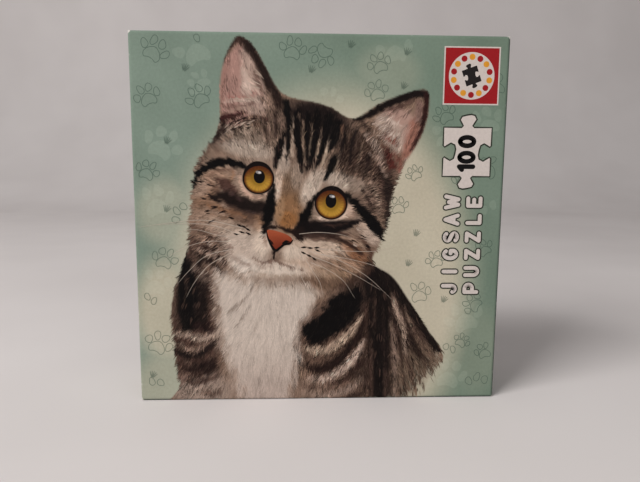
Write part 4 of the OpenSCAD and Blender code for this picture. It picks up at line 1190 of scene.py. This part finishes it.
WHISKERS = [
    [(-33, 76), (-48, 79), (-62, 78), (-76, 76)], [(-34, 73), (-46, 77), (-58, 77.5), (-68, 77)],
    [(-36, 70), (-48, 70), (-58, 67), (-66, 62)], [(-36, 67), (-48, 64), (-56, 57), (-62, 50)],
    [(-38, 65), (-47, 60), (-53, 53), (-57, 46)], [(-30, 72), (-42, 72.5), (-52, 75), (-60, 74)],
    [(-9, 73.3), (-1, 74), (8, 73.2), (14, 71.4)], [(-5, 66), (8, 62), (20, 55), (31, 45)],
    [(-4, 64), (6, 60), (16, 55), (26, 49)], [(-6, 62), (-3, 57), (0, 52), (1.5, 45)],
    [(-4, 61), (3, 58), (10, 53), (15, 45.5)], [(-9, 60), (-8, 55), (-6, 50), (-6, 45)],
    [(-2, 65), (10, 63), (22, 60), (34, 55)], [(-1, 67), (12, 66), (24, 66), (32, 68)],
]
for hair in WHISKERS:
    path = curve(hair, steps=8)
    features.ribbon(path, (0.20, 0.17, 0.13, 0.05), rgb(182, 168, 155), caps=False)
finish_piece(features.build("lid_print_features"), "lid", "lid_paper", flat_print)


# ---------------------------------------------------------------- paw prints on the backdrop
PAD = [(-3.2, -0.6), (-2.2, 1.4), (0, 2.6), (2.2, 1.4), (3.2, -0.6), (2.4, -2.2), (0.9, -1.7),
       (-0.9, -1.7), (-2.4, -2.2)]
TOES = [(-4.2, 1.9, 25), (-1.7, 4.6, 8), (1.7, 4.6, -8), (4.2, 1.9, -25)]


def paw_shapes(u, v, size, turn):
    """A pad and four toes as closed outlines."""
    shapes = [curve(PAD, closed=True, steps=4)]
    a = np.linspace(0, 2 * math.pi, 18, endpoint=False)
    for toe_u, toe_v, lean in TOES:
        # drawn by hand, so no two toes are quite alike
        wobble = 1 + 0.12 * np.sin(2 * a + u + toe_u) + 0.07 * np.sin(3 * a + v)
        du, dv = turned(1.3 * wobble * np.cos(a), 1.7 * wobble * np.sin(a), lean)
        shapes.append(np.c_[toe_u + du, toe_v + dv])
    outlines = []
    for shape in shapes:
        du, dv = turned(shape[:, 0], shape[:, 1], turn)
        outlines.append(np.c_[u + size * du, v + size * dv])
    return outlines


def faint(tint, share):
    return lambda u, v: backdrop(u, v) * (1 - share) + tint * share


DARK_LINE = rgb(58, 74, 64)
PALE_PAD = rgb(196, 202, 186)
PAW_LINE = 0.3
# Outlined paws on the face, then on the walls, [u, v, size, turn]
PAWS = [
    (-68, 146, 1.1, -30), (-49, 128, 1.0, 30), (-12, 147, 1.0, -10), (1, 148, 1.0, 150),
    (-70, 128, 1.0, 20), (23, 131, 0.9, 15), (24, 142, 0.9, 20), (-66, 61, 1.0, -15), (-70, 24, 1.1, -25),
    (-71, 4, 1.0, 40), (36, 108, 0.9, -20), (56, 19, 0.9, 25), (70, 4, 1.1, -20), (68, 42, 0.9, 60),
    (43, 46, 1.0, 10), (52, 122, 0.9, 30), (71, 100, 1.0, -35), (73, 134, 0.9, 10), (50, 61, 0.8, 15),
    (71, 66, 0.8, 35), (33, 84, 0.8, 5), (-56, 80, 1.0, 35), (62, 25, 0.7, -30), (40, 98, 0.7, 30),
    (-46, 152, 0.9, 20), (-72, 98, 0.9, -20), (60, 96, 0.8, 20), (73, 20, 0.8, 15), (-74, 42, 0.9, 12),
]
PAWS += [(side * (93 + 11 * (k % 2)), 16 + 31 * k, 1.0, 40 * k) for side in (-1, 1) for k in range(5)]
PAWS += [(-62 + 31 * k, 169 + 11 * (k % 2), 1.0, 25 + 50 * k) for k in range(5)]
PALE_PAWS = [
    (-50, 146, 1.6, 20), (-66, 108, 1.5, -25), (30, 147, 1.4, 10), (64, 34, 1.6, 20), (-68, 84, 1.5, 15),
    (44, 112, 1.3, -20), (70, 118, 1.4, 30), (-70, 50, 1.3, 0), (74, 80, 1.2, -15), (3, 127, 1.1, 0),
    (57, 8, 1.5, -10), (-48, 134, 1.0, 60),
]
SCRIBBLES = [
    (35, 148.5), (12, 151), (-4, 141), (-63, 112), (-64, 84), (41, 74), (34, 135), (54, 45), (-55, 141),
    (38, 61), (-72, 12),
]


def clear_of_cat(points):
    return (depth_in(points[:, 0], points[:, 1], CAT_OUTLINE) < -0.4).all()


def on_one_panel(points):
    """True when a shape lies wholly on the lid's face, on a side wall or on the top wall, clear of
    the edges between them."""
    past_u = np.abs(points[:, 0]) - BOX_W / 2
    past_v = np.abs(points[:, 1] - MID_V) - BOX_H / 2
    face_u, face_v = (past_u < -1.2).all(), (past_v < -1.2).all()
    wall_u = (past_u > 0.8).all() and (past_u < LID_D - 2.5).all()
    wall_v = (past_v > 0.8).all() and (past_v < LID_D - 2.5).all() and points[0, 1] > MID_V
    return (face_u and face_v) or (wall_u and face_v) or (wall_v and face_u)


def lid_outlines(paws):
    """The outlines of those pads and toes that the cat and the box's edges leave whole."""
    for paw in paws:
        for outline in paw_shapes(*paw):
            if clear_of_cat(outline) and on_one_panel(outline):
                yield outline


prints = Ink(wrap_round, PAWS_LIFT)
for outline in lid_outlines(PALE_PAWS):
    prints.shape(outline, faint(PALE_PAD, 0.10))
for outline in lid_outlines(PAWS):
    prints.ribbon(outline, (PAW_LINE,), faint(DARK_LINE, 0.5), closed=True)
for spot in SCRIBBLES:
    for k in range(5):
        way = 0.7 + 0.25 * k
        ahead = np.array([math.cos(way), math.sin(way)])
        across = np.array([-ahead[1], ahead[0]]) * (k - 2) * 0.55
        line = [spot + across + ahead * 1.4 * t for t in (-1, 0, 1)]
        prints.ribbon(line, (0.2, 0.35, 0.2), faint(DARK_LINE, 0.45), caps=False)
finish_piece(prints.build("lid_print_paws"), "lid", "lid_paper", flat_print)

# the back has the same outlines round a glow
BACK_PAWS = [
    (-60, 135, 1.1, 20), (-58, 22, 1.0, -20), (60, 136, 1.0, -15), (61, 20, 1.1, 30), (0, 142, 0.9, 5),
    (-64, 80, 1.0, 40), (64, 78, 0.9, -40), (2, 12, 1.0, 170), (-32, 128, 0.8, 60), (34, 27, 0.8, -60),
]
back = Ink(on_back, PAWS_LIFT)
for paw in BACK_PAWS:
    for outline in paw_shapes(*paw):
        back.ribbon(outline, (PAW_LINE,), DARK_LINE, closed=True)
finish_piece(back.build("base_print_paws"), "base", "base_paper", flat_print)

# ---------------------------------------------------------------- badge, piece count and words
label = Ink(wrap_round, LABEL_LIFT)
BADGE = (61.9, 139.0)
BADGE_SIDE, BADGE_BORDER, FIELD_R = 23.4, 0.55, 9.5
DOTS, DOT_RING, DOT_R = 14, 7.6, 1.25
CARD_WHITE = rgb(188, 178, 172)
BADGE_RED = rgb(138, 24, 28)
BADGE_GOLD = rgb(196, 134, 44)
OUTLINE_DARK = rgb(44, 48, 40)
COUNT_BLACK = rgb(14, 12, 12)
# One side of a jigsaw piece one unit wide, [along, outward]
KNOBBED_SIDE = [
    (-0.5, 0), (-0.13, 0), (-0.1, 0.03), (-0.13, 0.08), (-0.17, 0.15), (-0.13, 0.22), (-0.04, 0.245),
    (0.06, 0.26), (0.14, 0.24), (0.18, 0.16), (0.13, 0.08), (0.1, 0.03), (0.13, 0),
]


def square_at(middle, side):
    u, v = middle
    h = side / 2
    return [(u - h, v - h), (u + h, v - h), (u + h, v + h), (u - h, v + h)]


def piece_icon(middle, side, turn=0):
    """Outline of one jigsaw piece, with knobs above and below and sockets at its sides."""
    outline = []
    for quarter, way in enumerate((1, -1, 1, -1)):
        for along, out in KNOBBED_SIDE:
            x, y = turned(along * side, side / 2 + way * out * side, -90 * quarter)
            outline.append(turned(x, y, turn))
    return np.array(outline) + middle


label.shape(square_at(BADGE, BADGE_SIDE), CARD_WHITE)
label.shape(square_at(BADGE, BADGE_SIDE - 2 * BADGE_BORDER), BADGE_RED)
label.disc(BADGE, (FIELD_R, FIELD_R), CARD_WHITE, sides=64)
label.shape(piece_icon(BADGE, 6.6, 20), rgb(30, 26, 26))
for spot in range(DOTS):
    turn = 2 * math.pi * spot / DOTS
    place = (BADGE[0] + DOT_RING * math.sin(turn), BADGE[1] + DOT_RING * math.cos(turn))
    label.disc(place, (DOT_R, DOT_R), BADGE_RED if spot % 2 else BADGE_GOLD, sides=16)

icon_outline = piece_icon((61.3, 108), 20.4)
label.shape(icon_outline, CARD_WHITE)
label.ribbon(icon_outline, (0.65,), OUTLINE_DARK, closed=True)


def ring(cx, cy, rx, ry, start, end, steps):
    """Points along part of an ellipse, for the round strokes of letters."""
    a = np.radians(np.linspace(start, end, steps))
    return [(cx + rx * math.cos(t), cy + ry * math.sin(t)) for t in a]


# Letters on a grid 4 wide and 6 high, as strokes
GLYPH_W, GLYPH_H = 4, 6
GLYPHS = {
    "A": [[(0, 0), (2, 6)], [(2, 6), (4, 0)], [(0.75, 2), (3.25, 2)]],
    "E": [[(0.2, 6), (0.2, 0)], [(0.2, 6), (3.8, 6)], [(0.2, 3.1), (3.2, 3.1)], [(0.2, 0), (3.8, 0)]],
    "G": [ring(2.1, 3, 2.1, 3, 45, 320, 16), [(3.8, 1.2), (3.8, 2.8)], [(3.8, 2.8), (2.5, 2.8)]],
    "I": [[(2, 6), (2, 0)]],
    "J": [[(3.4, 6), (3.4, 1.9)] + ring(1.8, 1.7, 1.6, 1.7, 0, -165, 10)],
    "L": [[(0.4, 6), (0.4, 0)], [(0.4, 0), (3.8, 0)]],
    "P": [[(0.2, 0), (0.2, 6)],
          [(0.2, 6), (1.6, 6)] + ring(2, 4.1, 2.0, 1.9, 80, -80, 10) + [(1.6, 2.2), (0.2, 2.2)]],
    "S": [ring(2.0, 4.5, 1.8, 1.5, 30, 180, 9) + [(0.6, 3.6), (3.3, 2.5)]
          + ring(2.0, 1.5, 1.9, 1.5, 0, -150, 9)],
    "U": [[(0.2, 6), (0.2, 2)] + ring(2, 2, 1.8, 2, 180, 360, 10) + [(3.8, 6)]],
    "W": [[(-0.7, 6), (0.7, 0)], [(0.7, 0), (2, 4.6)], [(2, 4.6), (3.3, 0)], [(3.3, 0), (4.7, 6)]],
    "Z": [[(0.2, 6), (3.8, 6)], [(3.8, 6), (0.2, 0)], [(0.2, 0), (3.8, 0)]],
    "0": [ring(2, 3, 1.8, 3, 90, 450, 28)],
    "1": [[(0.6, 4.8), (2.2, 6)], [(2.2, 6), (2.2, 0)]],
}


def bend_corners(points, reach=0.28):
    """Rounds the sharp corners of a letter's stroke a little. A straight stroke gets two more points."""
    p = np.array(points, float)
    if len(p) < 3:
        return p[0] + (p[1] - p[0]) * np.linspace(0, 1, 4)[:, None]
    out = [p[0]]
    for a, b, c in zip(p[:-2], p[1:-1], p[2:]):
        for near in (a, c):
            length = np.linalg.norm(near - b)
            out.append(b + (near - b) * min(reach / max(length, 1e-6), 0.5))
    out.append(p[-1])
    return np.array(out)


def word(text, left_u, low_v, size, pitch, inks):
    """A word that reads upward, drawn once with each ink, a stroke width and a colour. Size is a
    letter's own width and height, from the middle of one stroke to the middle of another."""
    for width, colour in inks:
        for place, letter in enumerate(text):
            for stroke in GLYPHS[letter]:
                path = bend_corners(stroke)
                u = left_u + size[1] * (1 - path[:, 1] / GLYPH_H)
                v = low_v + place * pitch + size[0] * path[:, 0] / GLYPH_W
                label.ribbon(np.c_[u, v], (width,), colour)


word("1", 58.2, 100.2, (3.2, 5.9), 0, [(2.0, COUNT_BLACK)])
word("00", 58.2, 103.9, (3.9, 5.9), 6.5, [(2.0, COUNT_BLACK)])
for text, left_u in (("JIGSAW", 53.2), ("PUZZLE", 62.7)):
    word(text, left_u, 47.8, (3.5, 5.3), 7.5, [(2.75, OUTLINE_DARK), (1.65, CARD_WHITE)])
finish_piece(label.build("lid_print_label"), "lid", "lid_paper", flat_print)

# ---------------------------------------------------------------- camera, light and stage
scene = bpy.context.scene
scene.view_settings.view_transform = "Standard"


def turn_towards(place, target):
    return (Vector(target) - Vector(place)).to_track_quat("-Z", "Y").to_euler()


camera_data = bpy.data.cameras.new("camera")
camera_data.lens = 31.5
camera_data.sensor_width = 36.0
camera_data.clip_start = 0.01
camera = bpy.data.objects.new("camera", camera_data)
scene.collection.objects.link(camera)
camera.location = (-0.0103, -0.2561, 0.1031)
camera.rotation_euler = (math.radians(90 - 7.94), math.radians(-0.40), math.radians(-2.41))
scene.camera = camera


BOX_MIDDLE = (0, 0, 0.08)


def area_light(name, place, size, power):
    """A warm panel of light that faces the box."""
    data = bpy.data.lights.new(name, "AREA")
    data.shape = "RECTANGLE"
    data.size, data.size_y = size
    data.energy = power
    data.color = (1.0, 0.985, 0.97)
    lamp = bpy.data.objects.new(name, data)
    scene.collection.objects.link(lamp)
    lamp.location = place
    lamp.rotation_euler = turn_towards(place, BOX_MIDDLE)


area_light("key", (-1.0, -0.8, 1.2), (0.8, 0.8), 26)
area_light("fill", (0.9, -1.2, 0.7), (1.2, 1.0), 4)

world = bpy.data.worlds.new("world")
world.use_nodes = True
world.node_tree.nodes["Background"].inputs["Color"].default_value = (0.60, 0.59, 0.59, 1)
world.node_tree.nodes["Background"].inputs["Strength"].default_value = 0.42
scene.world = world


def floor_material():
    material, tree, shader = new_material("pale_floor")
    cloud = spread(tree, noise(tree, 6, 2), 0, 1, 0.35, 0.65)
    tone = mix(tree, cloud, (0.66, 0.62, 0.61, 1), (0.70, 0.66, 0.65, 1))
    tree.links.new(tone, shader.inputs["Base Color"])
    shader.inputs["Roughness"].default_value = 0.6
    shader.inputs["Specular IOR Level"].default_value = 0.2
    return material


# The stage in metres: front edge, end of the flat floor, radius of the bend, top, and half its width
STAGE_FRONT, STAGE_BACK, STAGE_BEND, STAGE_TOP, STAGE_HALF_W = -3, 0.9, 0.5, 3.0, 4


def stage_sheet():
    """A floor that curves up into a backdrop far behind."""
    profile = [(STAGE_FRONT, 0), (STAGE_BACK, 0)]
    profile += [(STAGE_BACK + STAGE_BEND * math.sin(t), STAGE_BEND - STAGE_BEND * math.cos(t))
                for t in np.linspace(0.1, math.pi / 2, 10)]
    profile += [(STAGE_BACK + STAGE_BEND, STAGE_TOP)]
    verts = [(x, y, z) for y, z in profile for x in (-STAGE_HALF_W, STAGE_HALF_W)]
    faces = [(2 * i, 2 * i + 1, 2 * i + 3, 2 * i + 2) for i in range(len(profile) - 1)]
    sheet = make_mesh("floor", verts, faces, smooth=True)
    sheet.data.materials.append(floor_material())


stage_sheet()


# ---------------------------------------------------------------- the CAD nodes that stay
def board_material(name, low, high, fleck):
    material, tree, shader = new_material(name)
    tone = mix(tree, spread(tree, noise(tree, 700, 6, 0.7), 0, 1, 0.35, 0.65), low, high)
    flecks = spread(tree, noise(tree, 3000, 2), 0, 0.5, 0.6, 0.72)
    tree.links.new(mix(tree, flecks, tone, fleck), shader.inputs["Base Color"])
    shader.inputs["Roughness"].default_value = 0.85
    bump(tree, shader, noise(tree, 2200, 4), 0.25, 0.0001)
    return material


greyboard = board_material(
    "greyboard", (0.40, 0.37, 0.32, 1), (0.47, 0.44, 0.38, 1), (0.25, 0.22, 0.18, 1))
tape = board_material(
    "tape", (0.50, 0.38, 0.24, 1), (0.56, 0.43, 0.28, 1), (0.36, 0.26, 0.16, 1))
for name, look in (("lid_board", greyboard), ("base_board", greyboard),
                   ("lid_corner_stays", tape), ("base_corner_stays", tape)):
    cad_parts[name].data.materials.clear()
    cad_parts[name].data.materials.append(look)

# ---------------------------------------------------------------- the loose pieces
# The same sizes and places as the pieces' own nodes
PIECE_ROWS = 10
PIECES = PIECE_ROWS ** 2
PIECE_PITCH = 20.0
PIECE_T = 1.9
CUT_GAP = 0.08
KNOB_R, KNOB_OUT, KNOB_WANDER = 3.0, 2.3, 1.4
LAYER_PITCH, SLUMP, LOOSE_GAP = 2.6, 4, 2.0
HEAP_LAYERS, HEAP_ROWS, HEAP_COLUMNS = 12, 4, 4
FILM_SKIN = 0.5
bag_low, bag_high = (np.array(c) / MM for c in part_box("piece_bag"))
CELL = 2 * math.hypot(PIECE_PITCH / 2 + KNOB_OUT + KNOB_R, KNOB_WANDER) + LOOSE_GAP
SPARE_W = bag_high[0] - bag_low[0] - 2 * FILM_SKIN - HEAP_COLUMNS * CELL
PIECE_SHARE = BOX_W / (PIECE_ROWS * PIECE_PITCH)
# How the pieces are dealt out over the heap, with no common factor with their number, how each is
# turned from the one before, and how each layer is shifted
DEAL_STEP, TURN_STEP, SWAY_STEP = 37, 67, 137


def knob_way(a, b):
    return 1 if (7 * a + 5 * b + a * b // 3) % 2 == 0 else -1


def knob_shift(a, b):
    return KNOB_WANDER * math.sin(math.radians(97 * a + 61 * b + 40))


def piece_edges(row, column):
    """Which way each side's knob points, 0 for a straight side, and how far it is off the middle."""
    last = PIECE_ROWS - 1
    right = knob_way(row, column) if column < last else 0
    top = knob_way(column + 3, row) if row < last else 0
    left = -knob_way(row, column - 1) if column else 0
    bottom = -knob_way(column + 3, row - 1) if row else 0
    shifts = (knob_shift(row, column), -knob_shift(column + 3, row),
              -knob_shift(row, column - 1), knob_shift(column + 3, row - 1))
    return zip((right, top, left, bottom), shifts)


def piece_outline(row, column):
    half = PIECE_PITCH / 2 - CUT_GAP
    points = []
    for edge, (way, shift) in enumerate(piece_edges(row, column)):
        line = [(half, -half)]
        if way:
            middle = PIECE_PITCH / 2 + way * KNOB_OUT
            radius = KNOB_R - way * CUT_GAP
            open_half = math.sqrt(radius ** 2 - (middle - half) ** 2)
            start = math.atan2(-open_half, half - middle)
            sweep = -2 * start if way > 0 else -2 * (math.pi + start)
            line += [(middle + radius * math.cos(t), shift + radius * math.sin(t))
                     for t in start + sweep * np.linspace(0, 1, 15)]
        points += [turned(x, y, 90 * edge) for x, y in line]
    return np.array(points)


def heap_slots():
    """The places in the heap as [row, layer, column], in slanting order, as it has slumped."""
    slots = []
    for slant in range(HEAP_LAYERS + SLUMP * HEAP_ROWS + 1):
        for row in range(HEAP_ROWS):
            layer = slant - SLUMP * row
            if 0 <= layer < HEAP_LAYERS:
                slots += [(row, layer, column) for column in range(HEAP_COLUMNS)]
    return slots


SLOTS = heap_slots()
BOARD_GREY = rgb(150, 144, 130)
# A die-cut piece's edge from its back to its face, [inset, height]
PIECE_EDGE = (
    (0.1, -PIECE_T / 2), (0, 0.12 - PIECE_T / 2), (0, PIECE_T / 2 - 0.3), (0.1, PIECE_T / 2 - 0.08),
    (0.28, PIECE_T / 2),
)
PRINTED_ABOVE = PIECE_T / 2 - 0.35
CUT_STEP = 4.0


def add_piece(work, row, column):
    """One piece as a closed solid, its face up, at its own place in its row."""
    line = piece_outline(row, column)
    ahead = unit(np.roll(line, -1, 0) - np.roll(line, 1, 0))
    inward = np.c_[-ahead[:, 1], ahead[:, 0]]
    loops = []
    for inset, height in PIECE_EDGE:
        ring = line + inward * inset + [column * PIECE_PITCH, 0]
        loops.append([work.verts.new((x, y, height)) for x, y in ring])
    for low, high in zip(loops, loops[1:]):
        for i in range(len(low)):
            j = (i + 1) % len(low)
            work.faces.new((low[i], low[j], high[j], high[i]))
    work.faces.new(loops[0][::-1])
    work.faces.new(loops[-1])


def cut_up(work):
    """Cuts the pieces into small faces, so that the picture's colours have places to sit."""
    for normal, stops in (((1, 0, 0), np.arange(-10, 190, CUT_STEP)),
                          ((0, 1, 0), np.arange(-8, 10, CUT_STEP))):
        for stop in stops + 0.3:
            everything = work.verts[:] + work.edges[:] + work.faces[:]
            spot = [stop * n for n in normal]
            bmesh.ops.bisect_plane(work, geom=everything, plane_co=spot, plane_no=normal)


def piece_columns(work):
    """Which piece of its row each vertex belongs to, by the middle of all that it is joined to."""
    columns = np.full(len(work.verts), -1)
    for start in work.verts:
        if columns[start.index] >= 0:
            continue
        reach, todo = [start], [start]
        seen = {start.index}
        while todo:
            for edge in todo.pop().link_edges:
                for vert in edge.verts:
                    if vert.index not in seen:
                        seen.add(vert.index)
                        reach.append(vert)
                        todo.append(vert)
        column = round(np.mean([vert.co.x for vert in reach]) / PIECE_PITCH)
        columns[[vert.index for vert in reach]] = column
    return columns


def in_heap(points, row, column):
    """A piece's points, moved from its place in its row to its place in the heap. Lying loose, it
    faces the front, turned about its own thickness."""
    number = row * PIECE_ROWS + column
    slot_row, layer, slot_column = SLOTS[DEAL_STEP * number % PIECES]
    x, y, z = (points - [column * PIECE_PITCH, 0, 0]).T
    across, up = turned(x, y, -TURN_STEP * number)
    sway = SPARE_W / 2 * math.sin(math.radians(SWAY_STEP * layer))
    return np.c_[
        across + (slot_column - (HEAP_COLUMNS - 1) / 2) * CELL + sway,
        bag_high[1] - FILM_SKIN - (layer + 0.5) * LAYER_PITCH - z,
        up + bag_low[2] + FILM_SKIN + (slot_row + 0.5) * CELL]


def puzzle_row(row):
    """One row's pieces, laid flat in the picture to take its colours, then each put in its own slot."""
    work = bmesh.new()
    for column in range(PIECE_ROWS):
        add_piece(work, row, column)
    cut_up(work)
    work.verts.index_update()
    work.verts.ensure_lookup_table()
    flat = np.array([vert.co[:] for vert in work.verts])
    columns = piece_columns(work)
    faces = [[vert.index for vert in face.verts] for face in work.faces]
    work.free()
    middle = (PIECE_ROWS - 1) / 2 * PIECE_PITCH
    u = (flat[:, 0] - middle) * PIECE_SHARE
    v = (flat[:, 1] + row * PIECE_PITCH - middle) * PIECE_SHARE + MID_V
    top = to_linear(picture(u, v)) * PRINT_GAIN
    placed = np.empty_like(flat)
    for column in range(PIECE_ROWS):
        mine = columns == column
        placed[mine] = in_heap(flat[mine], row, column)
    thing = make_mesh(f"puzzle_pieces_{row + 1:02d}", placed * MM, faces)
    grey = to_linear(BOARD_GREY)
    values = []
    for face in faces:
        printed = (flat[face, 2] > PRINTED_ABOVE).all()
        for i in face:
            values += [*(top[i] if printed else grey), 1.0]
    layer = thing.data.color_attributes.new("ink", "FLOAT_COLOR", "CORNER")
    layer.data.foreach_set("color", values)
    finish_piece(thing, "bag", "puzzle_board", flat_print, f"puzzle_row_{row + 1:02d}")


for row in range(PIECE_ROWS):
    puzzle_row(row)


# ---------------------------------------------------------------- the bag
def film_material():
    material, tree, shader = new_material("film")
    haze = spread(tree, noise(tree, 90, 3), 0, 1, 0.3, 0.7)
    tone = mix(tree, haze, (0.80, 0.84, 0.86, 1), (0.90, 0.93, 0.94, 1))
    tree.links.new(tone, shader.inputs["Base Color"])
    shader.inputs["Roughness"].default_value = 0.12
    shader.inputs["Specular IOR Level"].default_value = 0.6
    shader.inputs["Alpha"].default_value = 0.16
    bump(tree, shader, noise(tree, 120, 6, 0.65, (1, 1, 0.45)), 0.6, 0.002)
    return material


# The film's section: it is deep round the heap up to where that slants back, then thin, then a seal
SLANT_LOW, SLANT_HIGH, EMPTY_DEPTH = 41.9, 131.9, 3.6
SEAL_H, SEAL_FOLD, SEAL_DEPTH, SEAL_TOP_DEPTH = 7.0, 0.6, 0.3, 0.2
ROUND_R, FILM_SLACK, FILM_STEPS = 2.4, 0.32, 60


def bag_film():
    """A slack film over the slanting heap, gathered into a flat seal above it."""
    full_depth = bag_high[1] - bag_low[1]
    height = bag_high[2] - bag_low[2]
    seal_low = height - SEAL_H
    seal_at = seal_low + SEAL_FOLD
    across = np.linspace(bag_low[0], bag_high[0], FILM_STEPS + 1)
    up = np.concatenate([np.linspace(0, seal_low, FILM_STEPS), [seal_at, height]])
    a, b = np.meshgrid(across, up)
    deep = np.interp(b, [0, SLANT_LOW, SLANT_HIGH, seal_low, seal_at, height],
                     [full_depth, full_depth, EMPTY_DEPTH, EMPTY_DEPTH, SEAL_DEPTH, SEAL_TOP_DEPTH])
    crease = 0.5 + 0.25 * ripple(a * 1.6, b, 21, 8) + 0.25 * ripple(a, b * 2.2, 9, 9)
    slack = FILM_SLACK * np.clip(crease, 0, 1) * (b < seal_low)
    edge = np.minimum(np.minimum(a - bag_low[0], bag_high[0] - a), b)
    round_in = ROUND_R * (1 - ramp(0, ROUND_R, edge)) ** 2 * (deep > 1)
    front = np.stack([a, bag_high[1] - deep + slack + round_in, b + bag_low[2]], -1).reshape(-1, 3)
    rear = np.stack([a, np.full(a.shape, bag_high[1]), b + bag_low[2]], -1).reshape(-1, 3)
    index = np.arange(a.size).reshape(a.shape)
    rows, columns = a.shape
    faces = []
    for j in range(rows - 1):
        for i in range(columns - 1):
            quad = (index[j, i], index[j, i + 1], index[j + 1, i + 1], index[j + 1, i])
            faces.append(quad)
            faces.append(tuple(k + a.size for k in quad[::-1]))
    rim = [*index[0, :], *index[1:, -1], *index[-1, -2::-1], *index[-2:0:-1, 0]]
    for p, q in zip(rim, rim[1:] + rim[:1]):
        faces.append((q, p, p + a.size, q + a.size))
    thing = make_mesh("bag_of_film", np.vstack([front, rear]) * MM, faces, smooth=True)
    finish_piece(thing, "bag", "bag_film", film_material(), "piece_bag")


bag_film()
